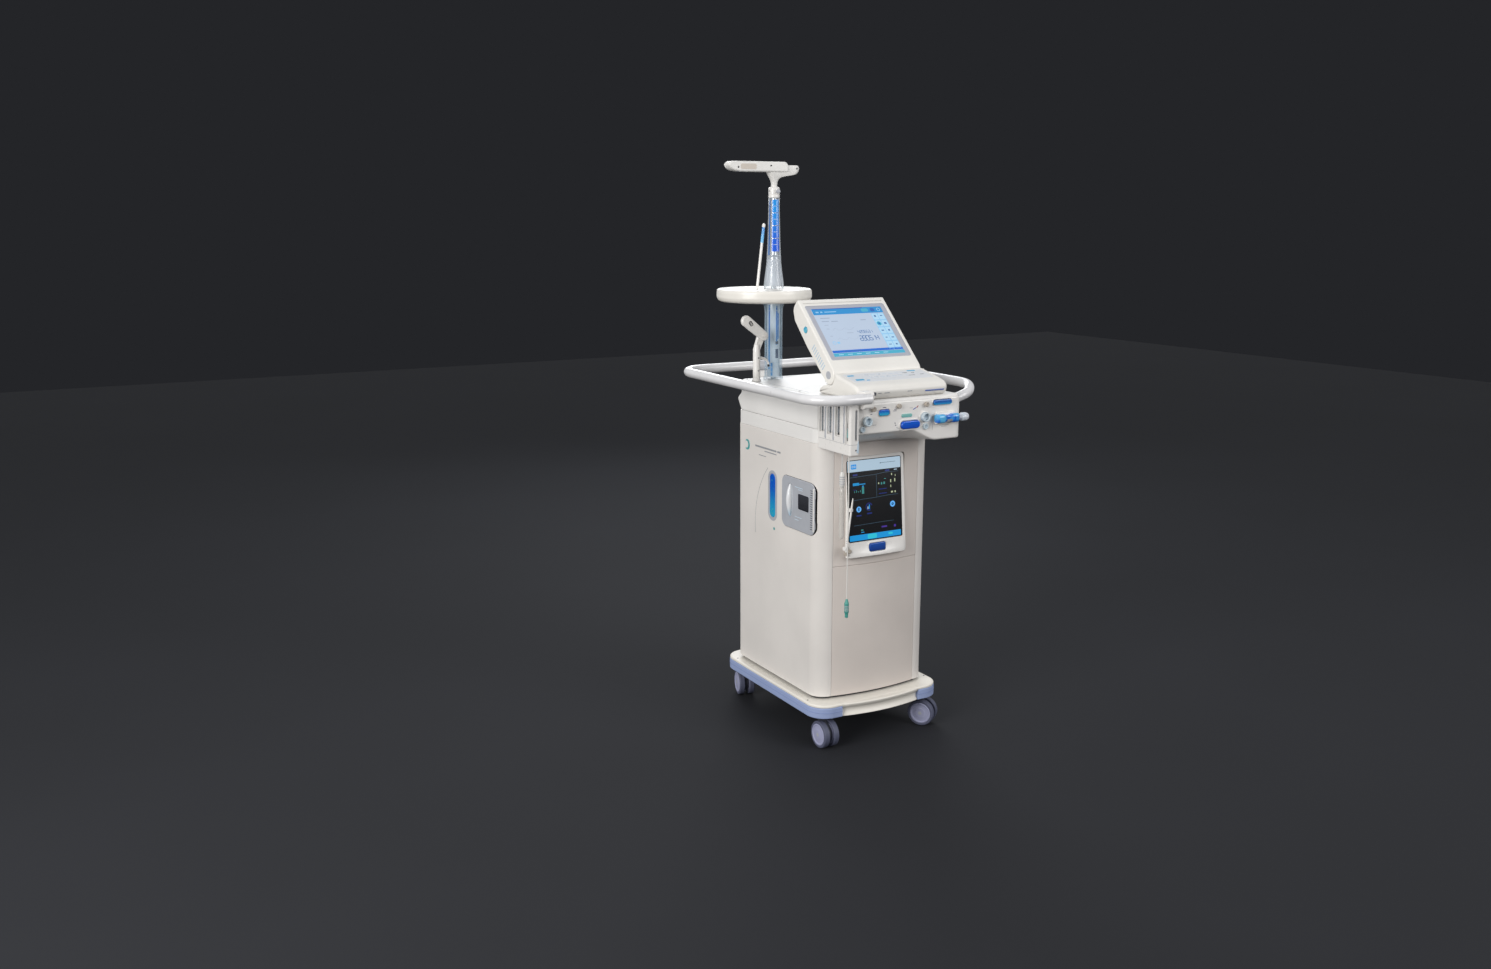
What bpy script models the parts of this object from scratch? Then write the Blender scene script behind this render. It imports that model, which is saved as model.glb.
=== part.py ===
"""Mechanical ventilator on a castor trolley: cabinet, head with fascia, tilting console, rail and mast.

Metres, +Z up, the front faces -Y. Every piece is placed about the cabinet's centre line and hangs from the
empty "cabinet_centre", which sits a little ahead of the middle of the rail loop.
"""

import math

import bmesh
import bpy
from mathutils import Matrix, Vector

# ---- driving dimensions -------------------------------------------------------------------------
GAP = 0.0003  # between pieces that touch
SEAM = 0.0008  # visible joint between two panels
RUN = 0.0012  # around a piece that moves in an opening

CABINET_W = 0.363
CABINET_D = 0.439
CABINET_CORNER = 0.045
CABINET_REAR_CORNER = 0.018
CABINET_BOW = 0.0135  # how far the middle of the front stands ahead of its ends
CABINET_GAP = 0.0074  # dark joint between the base and the cabinet
CABINET_TOP = 0.8355
FRONT_SEAM_Z = 0.500
PANEL_WALL = 0.004

BASE_W = 0.415
BASE_D = 0.530
BASE_CORNER = 0.055
BASE_H = 0.038
BASE_LIP = 0.0075  # depth of the cream top edge above the bumpers
BUMPER_WALL = 0.012
BUMPER_WRAP = 0.080  # how far a bumper runs round onto the front and the back
VALANCE_BOW = 0.015
PLINTH_INSET = 0.010
CHASSIS_T = 0.009

WHEEL_R = 0.0375
WHEEL_CLEAR = 0.015  # between the wheels and the base
WHEEL_W = 0.017
WHEEL_GAP = 0.013
AXLE_R = 0.004
CASTER_X = 0.160
CASTER_Y = 0.208
CASTER_TRAIL = 0.022
STEM_R = 0.006
CASTER_YAW = {"front_left": 0, "front_right": 35, "rear_left": 165, "rear_right": 200}

HEAD_W = 0.360
HEAD_FRONT = 0.340  # ahead of the cabinet's centre
HEAD_BACK = 0.2135
HEAD_CORNER = 0.020
HEAD_WALL = 0.004
HEAD_SEAM_Z = 0.8746
HEAD_LIP_Z = 0.905
HEAD_LIP_OUT = 0.0215  # how far the rear lip stands out
HEAD_INSET_Z = 0.930
DECK_Z = 0.962
FASCIA_T = 0.0055
FASCIA_TOP = 0.9535
STEP_TOP = 0.8838  # the fascia's lower edge is thickened behind, up to here
STEP_DEPTH = 0.0105
FASCIA_LOW_LEFT = 0.876
FASCIA_LOW_RIGHT = 0.844
MODULE_INNER_X = -0.1515
MODULE_FRONT = 0.358
MODULE_LAP = 0.0135  # how far the sample module reaches back along the cabinet
MODULE_BOTTOM = 0.828
KEY_CYAN = dict(x=-0.066, z=0.929, w=0.033, h=0.016)
LEVER_BLUE = dict(x=0.016, z=0.892, w=0.058, h=0.020)
LATCH_BLUE = dict(x=0.119, z=0.944, w=0.058, h=0.013)
KEY_DEPTH = 0.004
KNOBS = {"knob_left": (-0.101, 0.941), "knob_right": (0.066, 0.9415)}
KNOB_R = 0.0065
KNOB_SHAFT_R = 0.0025
PORTS = {"port_expiratory": (-0.119, 0.9105), "port_inspiratory": (0.063, 0.9085)}
PORT_R = 0.0125
PORT_BORE = 0.0085
PORT_REACH = 0.012
CONNECTOR_X = 0.127
CONNECTOR_Z = 0.902

RAIL_R = 0.0135
RAIL_Z = 0.9725
RAIL_HALF_W = 0.278
RAIL_BACK = 0.400
RAIL_FRONT = 0.368
RAIL_REAR_BEND = 0.075
RAIL_FRONT_BEND = 0.090

CONSOLE_W = 0.280
CONSOLE_T = 0.050
CONSOLE_L = 0.244  # from the tilt axis to the top edge
CONSOLE_TILT = 43.5  # degrees above level at rest
HINGE_Y = -0.193
HINGE_Z = 1.0137
HINGE_RUN = 0.002
SCREEN_W = 0.252
SCREEN_L = 0.188
DIAL_ALONG = 0.158  # along the console from its tilt axis
DIAL_R = 0.0085

DISPLAY_W = 0.188
DISPLAY_X = -0.0075
DISPLAY_Z0 = 0.524
DISPLAY_Z1 = 0.797
DISPLAY_CORNER = 0.012
GLASS_W = 0.175
GLASS_H = 0.220
GLASS_Z = 0.677
GLASS_X = -0.0125
BUTTON_W = 0.052
BUTTON_H = 0.022
BUTTON_X = -0.0105
BUTTON_Z = 0.548

HATCH_Y0 = -0.198
HATCH_Y1 = -0.031
HATCH_Z0 = 0.585
HATCH_Z1 = 0.727
HATCH_CORNER = 0.022
HATCH_T = 0.004
HANDLE_Y = -0.074
HANDLE_Z = 0.6625
HANDLE_W = 0.017
HANDLE_H = 0.090
WINDOW_Y = 0.021
WINDOW_Z = 0.656
WINDOW_W = 0.030
WINDOW_H = 0.124

MAST_X = -0.090
MAST_Y = 0.175
MAST_R = 0.0255
MAST_WALL = 0.0025
CORE_R = 0.0075
TRAY_X = -0.121
TRAY_R = 0.1345
TRAY_Z0 = 1.1835
TRAY_Z1 = 1.2185
COLLAR_R = 0.0155
COLLAR_Z0 = 1.469
COLLAR_Z1 = 1.499
NECK_R = 0.0085
BAR_Z0 = 1.539
BAR_Z1 = 1.567
BAR_LEFT = 0.153  # from the mast's axis
BAR_RIGHT = 0.079
BAR_STEP = 0.038  # where the higher left arm ends
POST_X = -0.162
POST_Y = 0.146
POST_R = 0.0105
KNUCKLE_X = -0.1465
KNUCKLE_Z = 1.090
LEVER_END_X = -0.202
LEVER_END_Z = 1.133
LEVER_T = 0.013

HALF_W = CABINET_W / 2
HALF_D = CABINET_D / 2
MODULE_BACK = HALF_D - MODULE_LAP
WHEEL_TOP = 2 * WHEEL_R
BASE_BOTTOM = WHEEL_TOP + WHEEL_CLEAR
BASE_TOP = BASE_BOTTOM + BASE_H
CABINET_BOTTOM = BASE_TOP + CABINET_GAP
FRONT_HALF = HALF_W - CABINET_CORNER
RAIL_FRONT_REACH = RAIL_FRONT + RAIL_R
CENTRE_Y = (RAIL_FRONT_REACH - RAIL_BACK - RAIL_R) / 2  # puts the rail loop's middle over the origin

# ---- scene helpers ------------------------------------------------------------------------------
for old in list(bpy.data.objects):
    bpy.data.objects.remove(old)

CENTRE = bpy.data.objects.new("cabinet_centre", None)
CENTRE.location = (0, CENTRE_Y, 0)
bpy.context.collection.objects.link(CENTRE)


def finish(name, colour, roughness=0.5, metallic=0.0, alpha=1.0):
    """A plain surface for one piece."""
    made = bpy.data.materials.new(name)
    made.use_nodes = True
    shader = made.node_tree.nodes["Principled BSDF"]
    shader.inputs["Base Color"].default_value = (*colour, 1)
    shader.inputs["Roughness"].default_value = roughness
    shader.inputs["Metallic"].default_value = metallic
    shader.inputs["Alpha"].default_value = alpha
    return made


WHITE = dict(colour=(0.62, 0.60, 0.57), roughness=0.42)
BEIGE = dict(colour=(0.52, 0.46, 0.40), roughness=0.5)
CREAM = dict(colour=(0.72, 0.68, 0.60), roughness=0.4)
BLUE_GREY = dict(colour=(0.30, 0.37, 0.58), roughness=0.55)
LAVENDER = dict(colour=(0.34, 0.34, 0.46), roughness=0.5)
BLUE = dict(colour=(0.005, 0.045, 0.42), roughness=0.25)
STEEL = dict(colour=(0.55, 0.56, 0.58), roughness=0.35, metallic=1.0)
DARK = dict(colour=(0.02, 0.02, 0.025), roughness=0.5)
GLASS = dict(colour=(0.01, 0.02, 0.05), roughness=0.08)
CLEAR = dict(colour=(0.55, 0.75, 0.85), roughness=0.1, alpha=0.4)


def keep(obj, look, helper=False):
    """Hang a new object from the cabinet's centre and give it its own surface, or hide it as a cutter."""
    bpy.context.collection.objects.link(obj)
    obj.parent = CENTRE
    if helper:
        obj.hide_render = True
        obj.display_type = "WIRE"
    else:
        obj.data.materials.append(finish(obj.name, **look))
    return obj


def from_bmesh(name, mesh, look=None, pivot=None):
    """An object from a bmesh. With a pivot, its origin sits there."""
    bmesh.ops.recalc_face_normals(mesh, faces=mesh.faces)
    if mesh.calc_volume(signed=True) < 0:
        bmesh.ops.reverse_faces(mesh, faces=mesh.faces)
    if pivot:
        bmesh.ops.translate(mesh, verts=mesh.verts, vec=-Vector(pivot))
    data = bpy.data.meshes.new(name)
    mesh.to_mesh(data)
    mesh.free()
    data.shade_smooth()
    data.set_sharp_from_angle(angle=math.radians(35))
    obj = bpy.data.objects.new(name, data)
    if pivot:
        obj.location = pivot
    return keep(obj, look, helper=look is None)


def stacked(name, loops, look=None, pivot=None):
    """A closed solid through loops of equally many points, capped at the first and the last."""
    mesh = bmesh.new()
    rings = [[mesh.verts.new(point) for point in loop] for loop in loops]
    for low, high in zip(rings, rings[1:]):
        for i in range(len(low)):
            j = (i + 1) % len(low)
            mesh.faces.new((low[i], low[j], high[j], high[i]))
    mesh.faces.new(rings[0][::-1])
    mesh.faces.new(rings[-1])
    return from_bmesh(name, mesh, look, pivot)


def place(axis, u, v, w):
    """A point of an outline (u, v) at the height w along an axis."""
    return {"X": (w, u, v), "Y": (u, w, v), "Z": (u, v, w)}[axis]


def prism(name, axis, outline, low, high, look=None, pivot=None, edge=0.0):
    """An outline pushed along an axis, with its two rims rounded off by edge."""
    steps = [(low, 0.0), (high, 0.0)]
    if edge:
        steps = [(low, edge), (low + edge * 0.3, edge * 0.3), (low + edge, 0.0)]
        steps += [(high - edge, 0.0), (high - edge * 0.3, edge * 0.3), (high, edge)]
    loops = [[place(axis, u, v, w) for u, v in offset(outline, inset)] for w, inset in steps]
    return stacked(name, loops, look, pivot)


def offset(outline, inset, closed=True):
    """An outline moved inwards, to the left of its direction of travel."""
    if not inset:
        return list(outline)
    moved = []
    count = len(outline)
    for i, point in enumerate(outline):
        here = Vector(point)
        before = Vector(outline[i - 1]) if closed or i else None
        after = Vector(outline[(i + 1) % count]) if closed or i < count - 1 else None
        ways = [way.normalized() for way in ((here - before) if before else None,
                                             (after - here) if after else None) if way]
        sides = [Vector((-way.y, way.x)) for way in ways]
        middle = sum(sides, Vector((0, 0))).normalized()
        moved.append(here + middle * (inset / max(middle.dot(sides[0]), 0.4)))
    return [(p.x, p.y) for p in moved]


def arc(cx, cy, radius, start, end, count):
    """Points on an arc, in degrees."""
    angles = [math.radians(start + (end - start) * i / count) for i in range(count + 1)]
    return [(cx + radius * math.cos(a), cy + radius * math.sin(a)) for a in angles]


def rounded(cx, cy, width, height, radius, count=4):
    """A rectangle with round corners, anticlockwise."""
    x, y = width / 2 - radius, height / 2 - radius
    points = []
    for sx, sy, start in ((1, -1, 270), (1, 1, 0), (-1, 1, 90), (-1, -1, 180)):
        points += arc(cx + sx * x, cy + sy * y, radius, start, start + 90, count)
    return points


def circle(cx, cy, radius, count=24):
    return [(cx + radius * math.cos(2 * math.pi * i / count),
             cy + radius * math.sin(2 * math.pi * i / count)) for i in range(count)]


def turned(name, axis, centre, profile, look=None, pivot=None, count=24):
    """A solid turned about an axis through centre. The profile is (radius, height) pairs.

    It starts and ends on the axis, or it closes on itself and leaves a bore.
    """
    open_bore = profile[0][0] > 0 and profile[-1][0] > 0
    mesh = bmesh.new()
    rings = []
    for radius, height in profile:
        flat = circle(0, 0, radius, count)
        ring = [place(axis, centre[0] + u, centre[1] + v, height) for u, v in flat]
        rings.append([mesh.verts.new(point) for point in (ring if radius > 0 else ring[:1])])
    pairs = list(zip(rings, rings[1:]))
    if open_bore:
        pairs.append((rings[-1], rings[0]))
    for low, high in pairs:
        for i in range(count):
            j = (i + 1) % count
            corners = [low[i % len(low)], low[j % len(low)], high[j % len(high)], high[i % len(high)]]
            mesh.faces.new(dict.fromkeys(corners))
    return from_bmesh(name, mesh, look, pivot)


def cut(target, cutter, operation="DIFFERENCE"):
    modifier = target.modifiers.new(cutter.name, "BOOLEAN")
    modifier.operation = operation
    modifier.object = cutter
    modifier.solver = "EXACT"


def join(target, *others):
    for other in others:
        cut(target, other, "UNION")


def smooth_route(points, step):
    """Points every step along a smooth curve through a route's own points."""
    route = [Vector(p) for p in points]
    ends = [2 * route[0] - route[1]] + route + [2 * route[-1] - route[-2]]
    found = []
    for a, b, c, d in zip(ends, ends[1:], ends[2:], ends[3:]):
        count = max(1, round((c - b).length / step))
        for i in range(count):
            t = i / count
            found.append(0.5 * (2 * b + (c - a) * t + (2 * a - 5 * b + 4 * c - d) * t * t
                                + (3 * b - a - 3 * c + d) * t ** 3))
    return found + [route[-1]]


def tube(name, points, radius, look, resolution=3):
    """A round bar or cord along a list of points."""
    data = bpy.data.curves.new(name, "CURVE")
    data.dimensions = "3D"
    spline = data.splines.new("POLY")
    spline.points.add(len(points) - 1)
    for place_here, point in zip(spline.points, points):
        place_here.co = (*point, 1)
    data.bevel_depth = radius
    data.bevel_resolution = resolution
    data.use_fill_caps = True
    return keep(bpy.data.objects.new(name, data), look)


def smoothstep(low, high, x):
    t = min(1.0, max(0.0, (x - low) / (high - low)))
    return t * t * (3 - 2 * t)


# ---- trolley ------------------------------------------------------------------------------------
def castor(corner):
    """A twin-wheel castor: a yoke that turns about its stem, and a pair of wheels on one axle."""
    sx = -1 if "left" in corner else 1
    sy = -1 if "front" in corner else 1
    yaw = Matrix.Rotation(math.radians(CASTER_YAW[corner]), 4, "Z")
    stem = Vector((sx * CASTER_X, sy * CASTER_Y, 0))
    web_t = WHEEL_GAP - 0.003
    outline = circle(-CASTER_TRAIL, WHEEL_R, 0.026, 16)
    yoke = prism("caster_yoke_" + corner, "X", outline, -web_t / 2, web_t / 2, DARK)
    neck = [(-0.034, WHEEL_R), (0.008, WHEEL_TOP - 0.020), (0.012, WHEEL_TOP + 0.006),
            (-0.012, WHEEL_TOP + 0.0065), (-0.040, WHEEL_TOP - 0.017)]
    low_z = BASE_BOTTOM - GAP
    hub = [(0, WHEEL_TOP + 0.001), (0.014, WHEEL_TOP + 0.001), (0.015, WHEEL_TOP + 0.004),
           (0.015, low_z - 0.001), (0.014, low_z), (STEM_R, low_z)]
    hub += [(STEM_R, BASE_BOTTOM + CHASSIS_T + 0.006), (0, BASE_BOTTOM + CHASSIS_T + 0.006)]
    join(yoke,
         prism("neck_" + corner, "X", neck, -web_t / 2 + 0.0004, web_t / 2 - 0.0004),
         turned("stem_" + corner, "Z", (0, 0), hub, count=14))
    bore = prism("bore_" + corner, "X", circle(-CASTER_TRAIL, WHEEL_R, AXLE_R * 1.18, 12), -0.02, 0.02)
    cut(yoke, bore)
    inner, outer = WHEEL_GAP / 2, WHEEL_GAP / 2 + WHEEL_W
    half = [(AXLE_R, inner), (WHEEL_R - 0.003, inner), (WHEEL_R, inner + 0.003), (WHEEL_R, outer - 0.004),
            (WHEEL_R - 0.004, outer), (0, outer + 0.0015)]
    profile = [(r, -w) for r, w in half[::-1]] + half
    wheels = turned("caster_wheels_" + corner, "X", (-CASTER_TRAIL, WHEEL_R), profile, LAVENDER, count=24)
    for obj in [yoke, wheels] + [m.object for m in yoke.modifiers]:
        obj.data.transform(yaw)
        obj.location = stem
    axle_centre = yaw @ Vector((0, -CASTER_TRAIL, WHEEL_R))
    wheels.data.transform(Matrix.Translation(-axle_centre))
    wheels.location = stem + axle_centre


def base_outline():
    return rounded(0, 0, BASE_W, BASE_D, BASE_CORNER, 6)


def bow(x, half, depth):
    return depth * (1 - (x / half) ** 2)


def valance(name, side):
    """The moulding between two bumpers, bowed outwards and hollowed under its top edge."""
    half = BASE_W / 2 - BUMPER_WRAP - SEAM
    out = BASE_D / 2
    section = [(-0.035, BASE_TOP - 0.001), (-0.002, BASE_TOP - 0.001), (0.0, BASE_TOP - 0.004),
               (-0.002, BASE_TOP - 0.010), (-0.0085, BASE_TOP - 0.016), (-0.010, BASE_TOP - 0.024),
               (-0.007, BASE_BOTTOM + 0.006), (-0.0035, BASE_BOTTOM), (-0.035, BASE_BOTTOM)]
    loops = []
    for i in range(9):
        x = -half + 2 * half * i / 8
        reach = out + bow(x, half, VALANCE_BOW)
        loops.append([(x, side * (reach + d), z) for d, z in section])
    return stacked(name, loops)


def build_trolley():
    frame_w, frame_d = BASE_W - 0.080, BASE_D - 0.100
    frame = prism("base_frame", "Z", rounded(0, 0, frame_w, frame_d, 0.012, 2), BASE_BOTTOM,
                  BASE_BOTTOM + CHASSIS_T, STEEL)
    for sx in (-1, 1):
        for sy in (-1, 1):
            hole = circle(sx * CASTER_X, sy * CASTER_Y, STEM_R * 1.12, 14)
            cut(frame, prism(f"socket_{sx}_{sy}", "Z", hole, BASE_BOTTOM - 0.01, BASE_TOP))
    lip = offset(base_outline(), 0.001)
    top = BASE_TOP
    cover = stacked("base_cover", [
        [(x, y, z) for x, y in offset(lip, inset)]
        for z, inset in ((top - BASE_LIP, 0.0015), (top - BASE_LIP + 0.001, 0), (top - 0.003, 0),
                         (top - 0.001, 0.0015), (top, 0.006))], CREAM)
    core = prism("cover_core", "Z", offset(base_outline(), BUMPER_WALL + GAP),
                 BASE_BOTTOM + CHASSIS_T + GAP, top - 0.002)
    plinth = prism("plinth", "Z", cabinet_outline(PLINTH_INSET), top - 0.004, CABINET_BOTTOM - GAP)
    join(cover, core, valance("front_valance", -1), valance("rear_valance", 1), plinth)
    wells = []
    for sx in (-1, 1):
        for sy in (-1, 1):
            well = circle(sx * CASTER_X, sy * CASTER_Y, STEM_R * 1.5, 12)
            wells.append(prism(f"well_{sx}_{sy}", "Z", well, BASE_BOTTOM, BASE_BOTTOM + CHASSIS_T + 0.008))
    for well in wells:
        cut(cover, well)
    for name, side in (("bumper_left", -1), ("bumper_right", 1)):
        x, y = BASE_W / 2 - BASE_CORNER, BASE_D / 2 - BASE_CORNER
        wrap = BASE_W / 2 - BUMPER_WRAP
        outer = [(wrap, -BASE_D / 2)] + arc(x, -y, BASE_CORNER, -90, 0, 6)
        outer += arc(x, y, BASE_CORNER, 0, 90, 6) + [(wrap, BASE_D / 2)]
        strip(name, outer, BUMPER_WALL, BASE_BOTTOM + 0.0005, top - BASE_LIP - GAP, BLUE_GREY,
              mirror=side < 0, edge=0.0025)
    for corner in CASTER_YAW:
        castor(corner)


def strip(name, outer, wall, low, high, look, mirror=False, edge=0.0):
    """A wall that follows an outline, with its outside rims eased."""
    if mirror:
        outer = [(-x, y) for x, y in outer[::-1]]
    inner = offset(outer, wall, closed=False)
    eased = offset(outer, edge, closed=False)
    outline = outer + inner[::-1]
    soft = eased + inner[::-1]
    steps = [(low, outline), (high, outline)]
    if edge:
        steps = [(low, soft), (low + edge, outline), (high - edge, outline), (high, soft)]
    loops = [[(x, y, z) for x, y in points] for z, points in steps]
    return stacked(name, loops, look)


# ---- cabinet ------------------------------------------------------------------------------------
def front_edge():
    """The bowed front of the plan, from left to right."""
    points = []
    for i in range(11):
        x = -FRONT_HALF + 2 * FRONT_HALF * i / 10
        points.append((x, -HALF_D - bow(x, FRONT_HALF, CABINET_BOW)))
    return points


def side_edge():
    """The right side of the plan, from the front seam round to the rear seam."""
    points = arc(HALF_W - CABINET_CORNER, -HALF_D + CABINET_CORNER, CABINET_CORNER, -90, 0, 8)
    points += arc(HALF_W - CABINET_REAR_CORNER, HALF_D - CABINET_REAR_CORNER, CABINET_REAR_CORNER, 0, 90, 4)
    return points


def cabinet_outline(inset=0.0):
    right = side_edge()
    left = [(-x, y) for x, y in right[::-1]]
    return offset(front_edge()[1:-1] + right + left, inset)


def build_cabinet():
    height = (CABINET_BOTTOM, CABINET_TOP)
    right = strip("side_panel_right", side_edge(), PANEL_WALL, *height, WHITE)
    left = strip("side_panel_left", side_edge(), PANEL_WALL, *height, WHITE, mirror=True)
    hatch = rounded((HATCH_Y0 + HATCH_Y1) / 2, (HATCH_Z0 + HATCH_Z1) / 2, HATCH_Y1 - HATCH_Y0,
                    HATCH_Z1 - HATCH_Z0, HATCH_CORNER, 5)
    cut(left, prism("hatch_aperture", "X", offset(hatch, -RUN), -HALF_W - 0.01, -HALF_W + 0.02))
    window = rounded(WINDOW_Y, WINDOW_Z, WINDOW_W, WINDOW_H, WINDOW_W / 2 - 0.001, 6)
    cut(left, prism("window_aperture", "X", offset(window, -GAP), -HALF_W - 0.01, -HALF_W + 0.02))
    prism("status_window", "X", window, -HALF_W + 0.0008, -HALF_W + 0.0048, BLUE)
    rear_half = HALF_W - CABINET_REAR_CORNER - SEAM
    rear = [(rear_half, HALF_D), (-rear_half, HALF_D)]
    rear_panel = strip("rear_panel", rear, PANEL_WALL, *height, WHITE)
    inlet = rounded(0.090, 0.215, 0.050, 0.030, 0.004, 2)
    cut(rear_panel, prism("inlet_aperture", "Y", offset(inlet, -GAP), HALF_D - 0.02, HALF_D + 0.02))
    socket = prism("power_inlet", "Y", inlet, HALF_D - 0.030, HALF_D + 0.002, DARK)
    cut(socket, prism("inlet_cavity", "Y", rounded(0.090, 0.215, 0.026, 0.018, 0.003, 2),
                      HALF_D - 0.018, HALF_D + 0.02))
    front = front_edge()
    front[0] = (front[0][0] + SEAM, front[0][1])
    front[-1] = (front[-1][0] - SEAM, front[-1][1])
    strip("front_panel_lower", front, PANEL_WALL, CABINET_BOTTOM, FRONT_SEAM_Z - SEAM / 2, BEIGE)
    upper = strip("front_panel_upper", front, PANEL_WALL, FRONT_SEAM_Z + SEAM / 2, CABINET_TOP, BEIGE)
    middle = (DISPLAY_Z0 + DISPLAY_Z1) / 2
    opening = rounded(DISPLAY_X, middle, DISPLAY_W, DISPLAY_Z1 - DISPLAY_Z0, DISPLAY_CORNER, 5)
    cut(upper, prism("display_aperture", "Y", offset(opening, -GAP), -HALF_D - 0.05, -HALF_D + 0.05))


def build_display():
    """The smaller screen on the cabinet's front: a tray that leans out towards its chin."""
    middle = (DISPLAY_Z0 + DISPLAY_Z1) / 2
    opening = rounded(DISPLAY_X, middle, DISPLAY_W - 2 * GAP, DISPLAY_Z1 - DISPLAY_Z0 - 2 * GAP,
                      DISPLAY_CORNER, 5)
    front = -HALF_D - CABINET_BOW

    def face_y(z):
        return front + 0.010 - 0.022 * (DISPLAY_Z1 - z) / (DISPLAY_Z1 - DISPLAY_Z0)

    loops = [[(x, face_y(z) + d, z) for x, z in offset(opening, inset)]
             for d, inset in ((0.0, 0.003), (0.0012, 0.0008), (0.003, 0.0), (0.030, 0.0))]
    housing = stacked("display_housing", loops, WHITE)
    glass = rounded(GLASS_X, GLASS_Z, GLASS_W, GLASS_H, 0.005, 3)
    stacked("display_screen", [[(x, face_y(z) + d, z) for x, z in glass] for d in (-0.0003, 0.0022)], GLASS)
    pocket = stacked("screen_pocket",
                     [[(x, face_y(z) + d, z) for x, z in offset(glass, -GAP)] for d in (-0.01, 0.0025)])
    cut(housing, pocket)
    button = rounded(BUTTON_X, BUTTON_Z, BUTTON_W, BUTTON_H, 0.005, 4)
    face = face_y(BUTTON_Z)
    well = prism("button_well", "Y", offset(button, -RUN), face - 0.02, face + 0.0105)
    cut(housing, well)
    prism("display_button", "Y", button, face - 0.0035, face + 0.006, BLUE,
          pivot=(BUTTON_X, face, BUTTON_Z), edge=0.0018)


def build_hatch():
    """A cover over the filter bay, hinged at its front edge, and the bow handle that unlatches it."""
    hatch = rounded((HATCH_Y0 + HATCH_Y1) / 2, (HATCH_Z0 + HATCH_Z1) / 2, HATCH_Y1 - HATCH_Y0,
                    HATCH_Z1 - HATCH_Z0, HATCH_CORNER, 5)
    outside = -HALF_W - 0.0015
    hinge = (-HALF_W - 0.001, HATCH_Y0 + 0.002, (HATCH_Z0 + HATCH_Z1) / 2)
    door = prism("hatch_door", "X", hatch, outside, outside + HATCH_T, CLEAR, pivot=hinge)
    recess = rounded(HANDLE_Y, HANDLE_Z, HANDLE_W, HANDLE_H, HANDLE_W / 2 - 0.0005, 4)
    pocket = prism("handle_pocket", "X", offset(recess, -RUN), outside - 0.01, outside + 0.0022)
    cut(door, pocket)
    low, high = outside - 0.011, outside + 0.0019
    sections = []
    for i in range(11):
        t = -1 + 2 * i / 10
        z = HANDLE_Z + t * (HANDLE_H / 2 - 0.0005)
        reach = low + (high - 0.003 - low) * t * t
        half = HANDLE_W / 2 * math.sqrt(max(1 - t * t, 0.12))
        sections.append([(high, HANDLE_Y - half, z), (high, HANDLE_Y + half, z),
                         (reach, HANDLE_Y + half * 0.6, z), (reach, HANDLE_Y - half * 0.6, z)])
    stacked("hatch_handle", sections, WHITE, pivot=(high, HANDLE_Y + HANDLE_W / 2, HANDLE_Z))


def build_inside():
    """What the cabinet carries: batteries at the bottom, the blower by the hatch, the supply at the back."""
    floor = CABINET_BOTTOM
    prism("battery_pack", "Z", rounded(0, -0.02, 0.280, 0.300, 0.008, 2), floor + 0.002, floor + 0.122,
          DARK, edge=0.002)
    prism("power_supply", "Z", rounded(-0.03, 0.120, 0.220, 0.090, 0.006, 2), floor + 0.130, floor + 0.350,
          STEEL, edge=0.002)
    blower_z = 0.655
    turned("blower", "Z", (0.045, -0.01), [
        (0, blower_z - 0.055), (0.030, blower_z - 0.055), (0.034, blower_z - 0.050), (0.034, blower_z - 0.024),
        (0.072, blower_z - 0.022), (0.080, blower_z - 0.014), (0.080, blower_z + 0.014),
        (0.072, blower_z + 0.022), (0.030, blower_z + 0.024), (0.026, blower_z + 0.040), (0, blower_z + 0.040)],
        STEEL, count=24)
    prism("gas_manifold", "Z", rounded(0, -0.04, 0.240, 0.160, 0.010, 2), HEAD_SEAM_Z + 0.004,
          DECK_Z - HEAD_WALL - 0.012, STEEL, edge=0.002)


# ---- head ---------------------------------------------------------------------------------------
def head_outline():
    """The head's plan, with the front-left corner left out for the sample module."""
    half = HEAD_W / 2
    notch_x = MODULE_INNER_X + GAP
    back = -MODULE_BACK + GAP
    front = -HEAD_FRONT + FASCIA_T + GAP
    points = [(notch_x, front)]
    points += arc(half - 0.008, front + 0.008, 0.008, -90, 0, 3)
    points += arc(half - HEAD_CORNER, HEAD_BACK - HEAD_CORNER, HEAD_CORNER, 0, 90, 5)
    points += arc(-half + HEAD_CORNER, HEAD_BACK - HEAD_CORNER, HEAD_CORNER, 90, 180, 5)
    return points + [(-half, back), (notch_x, back)]


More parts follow.
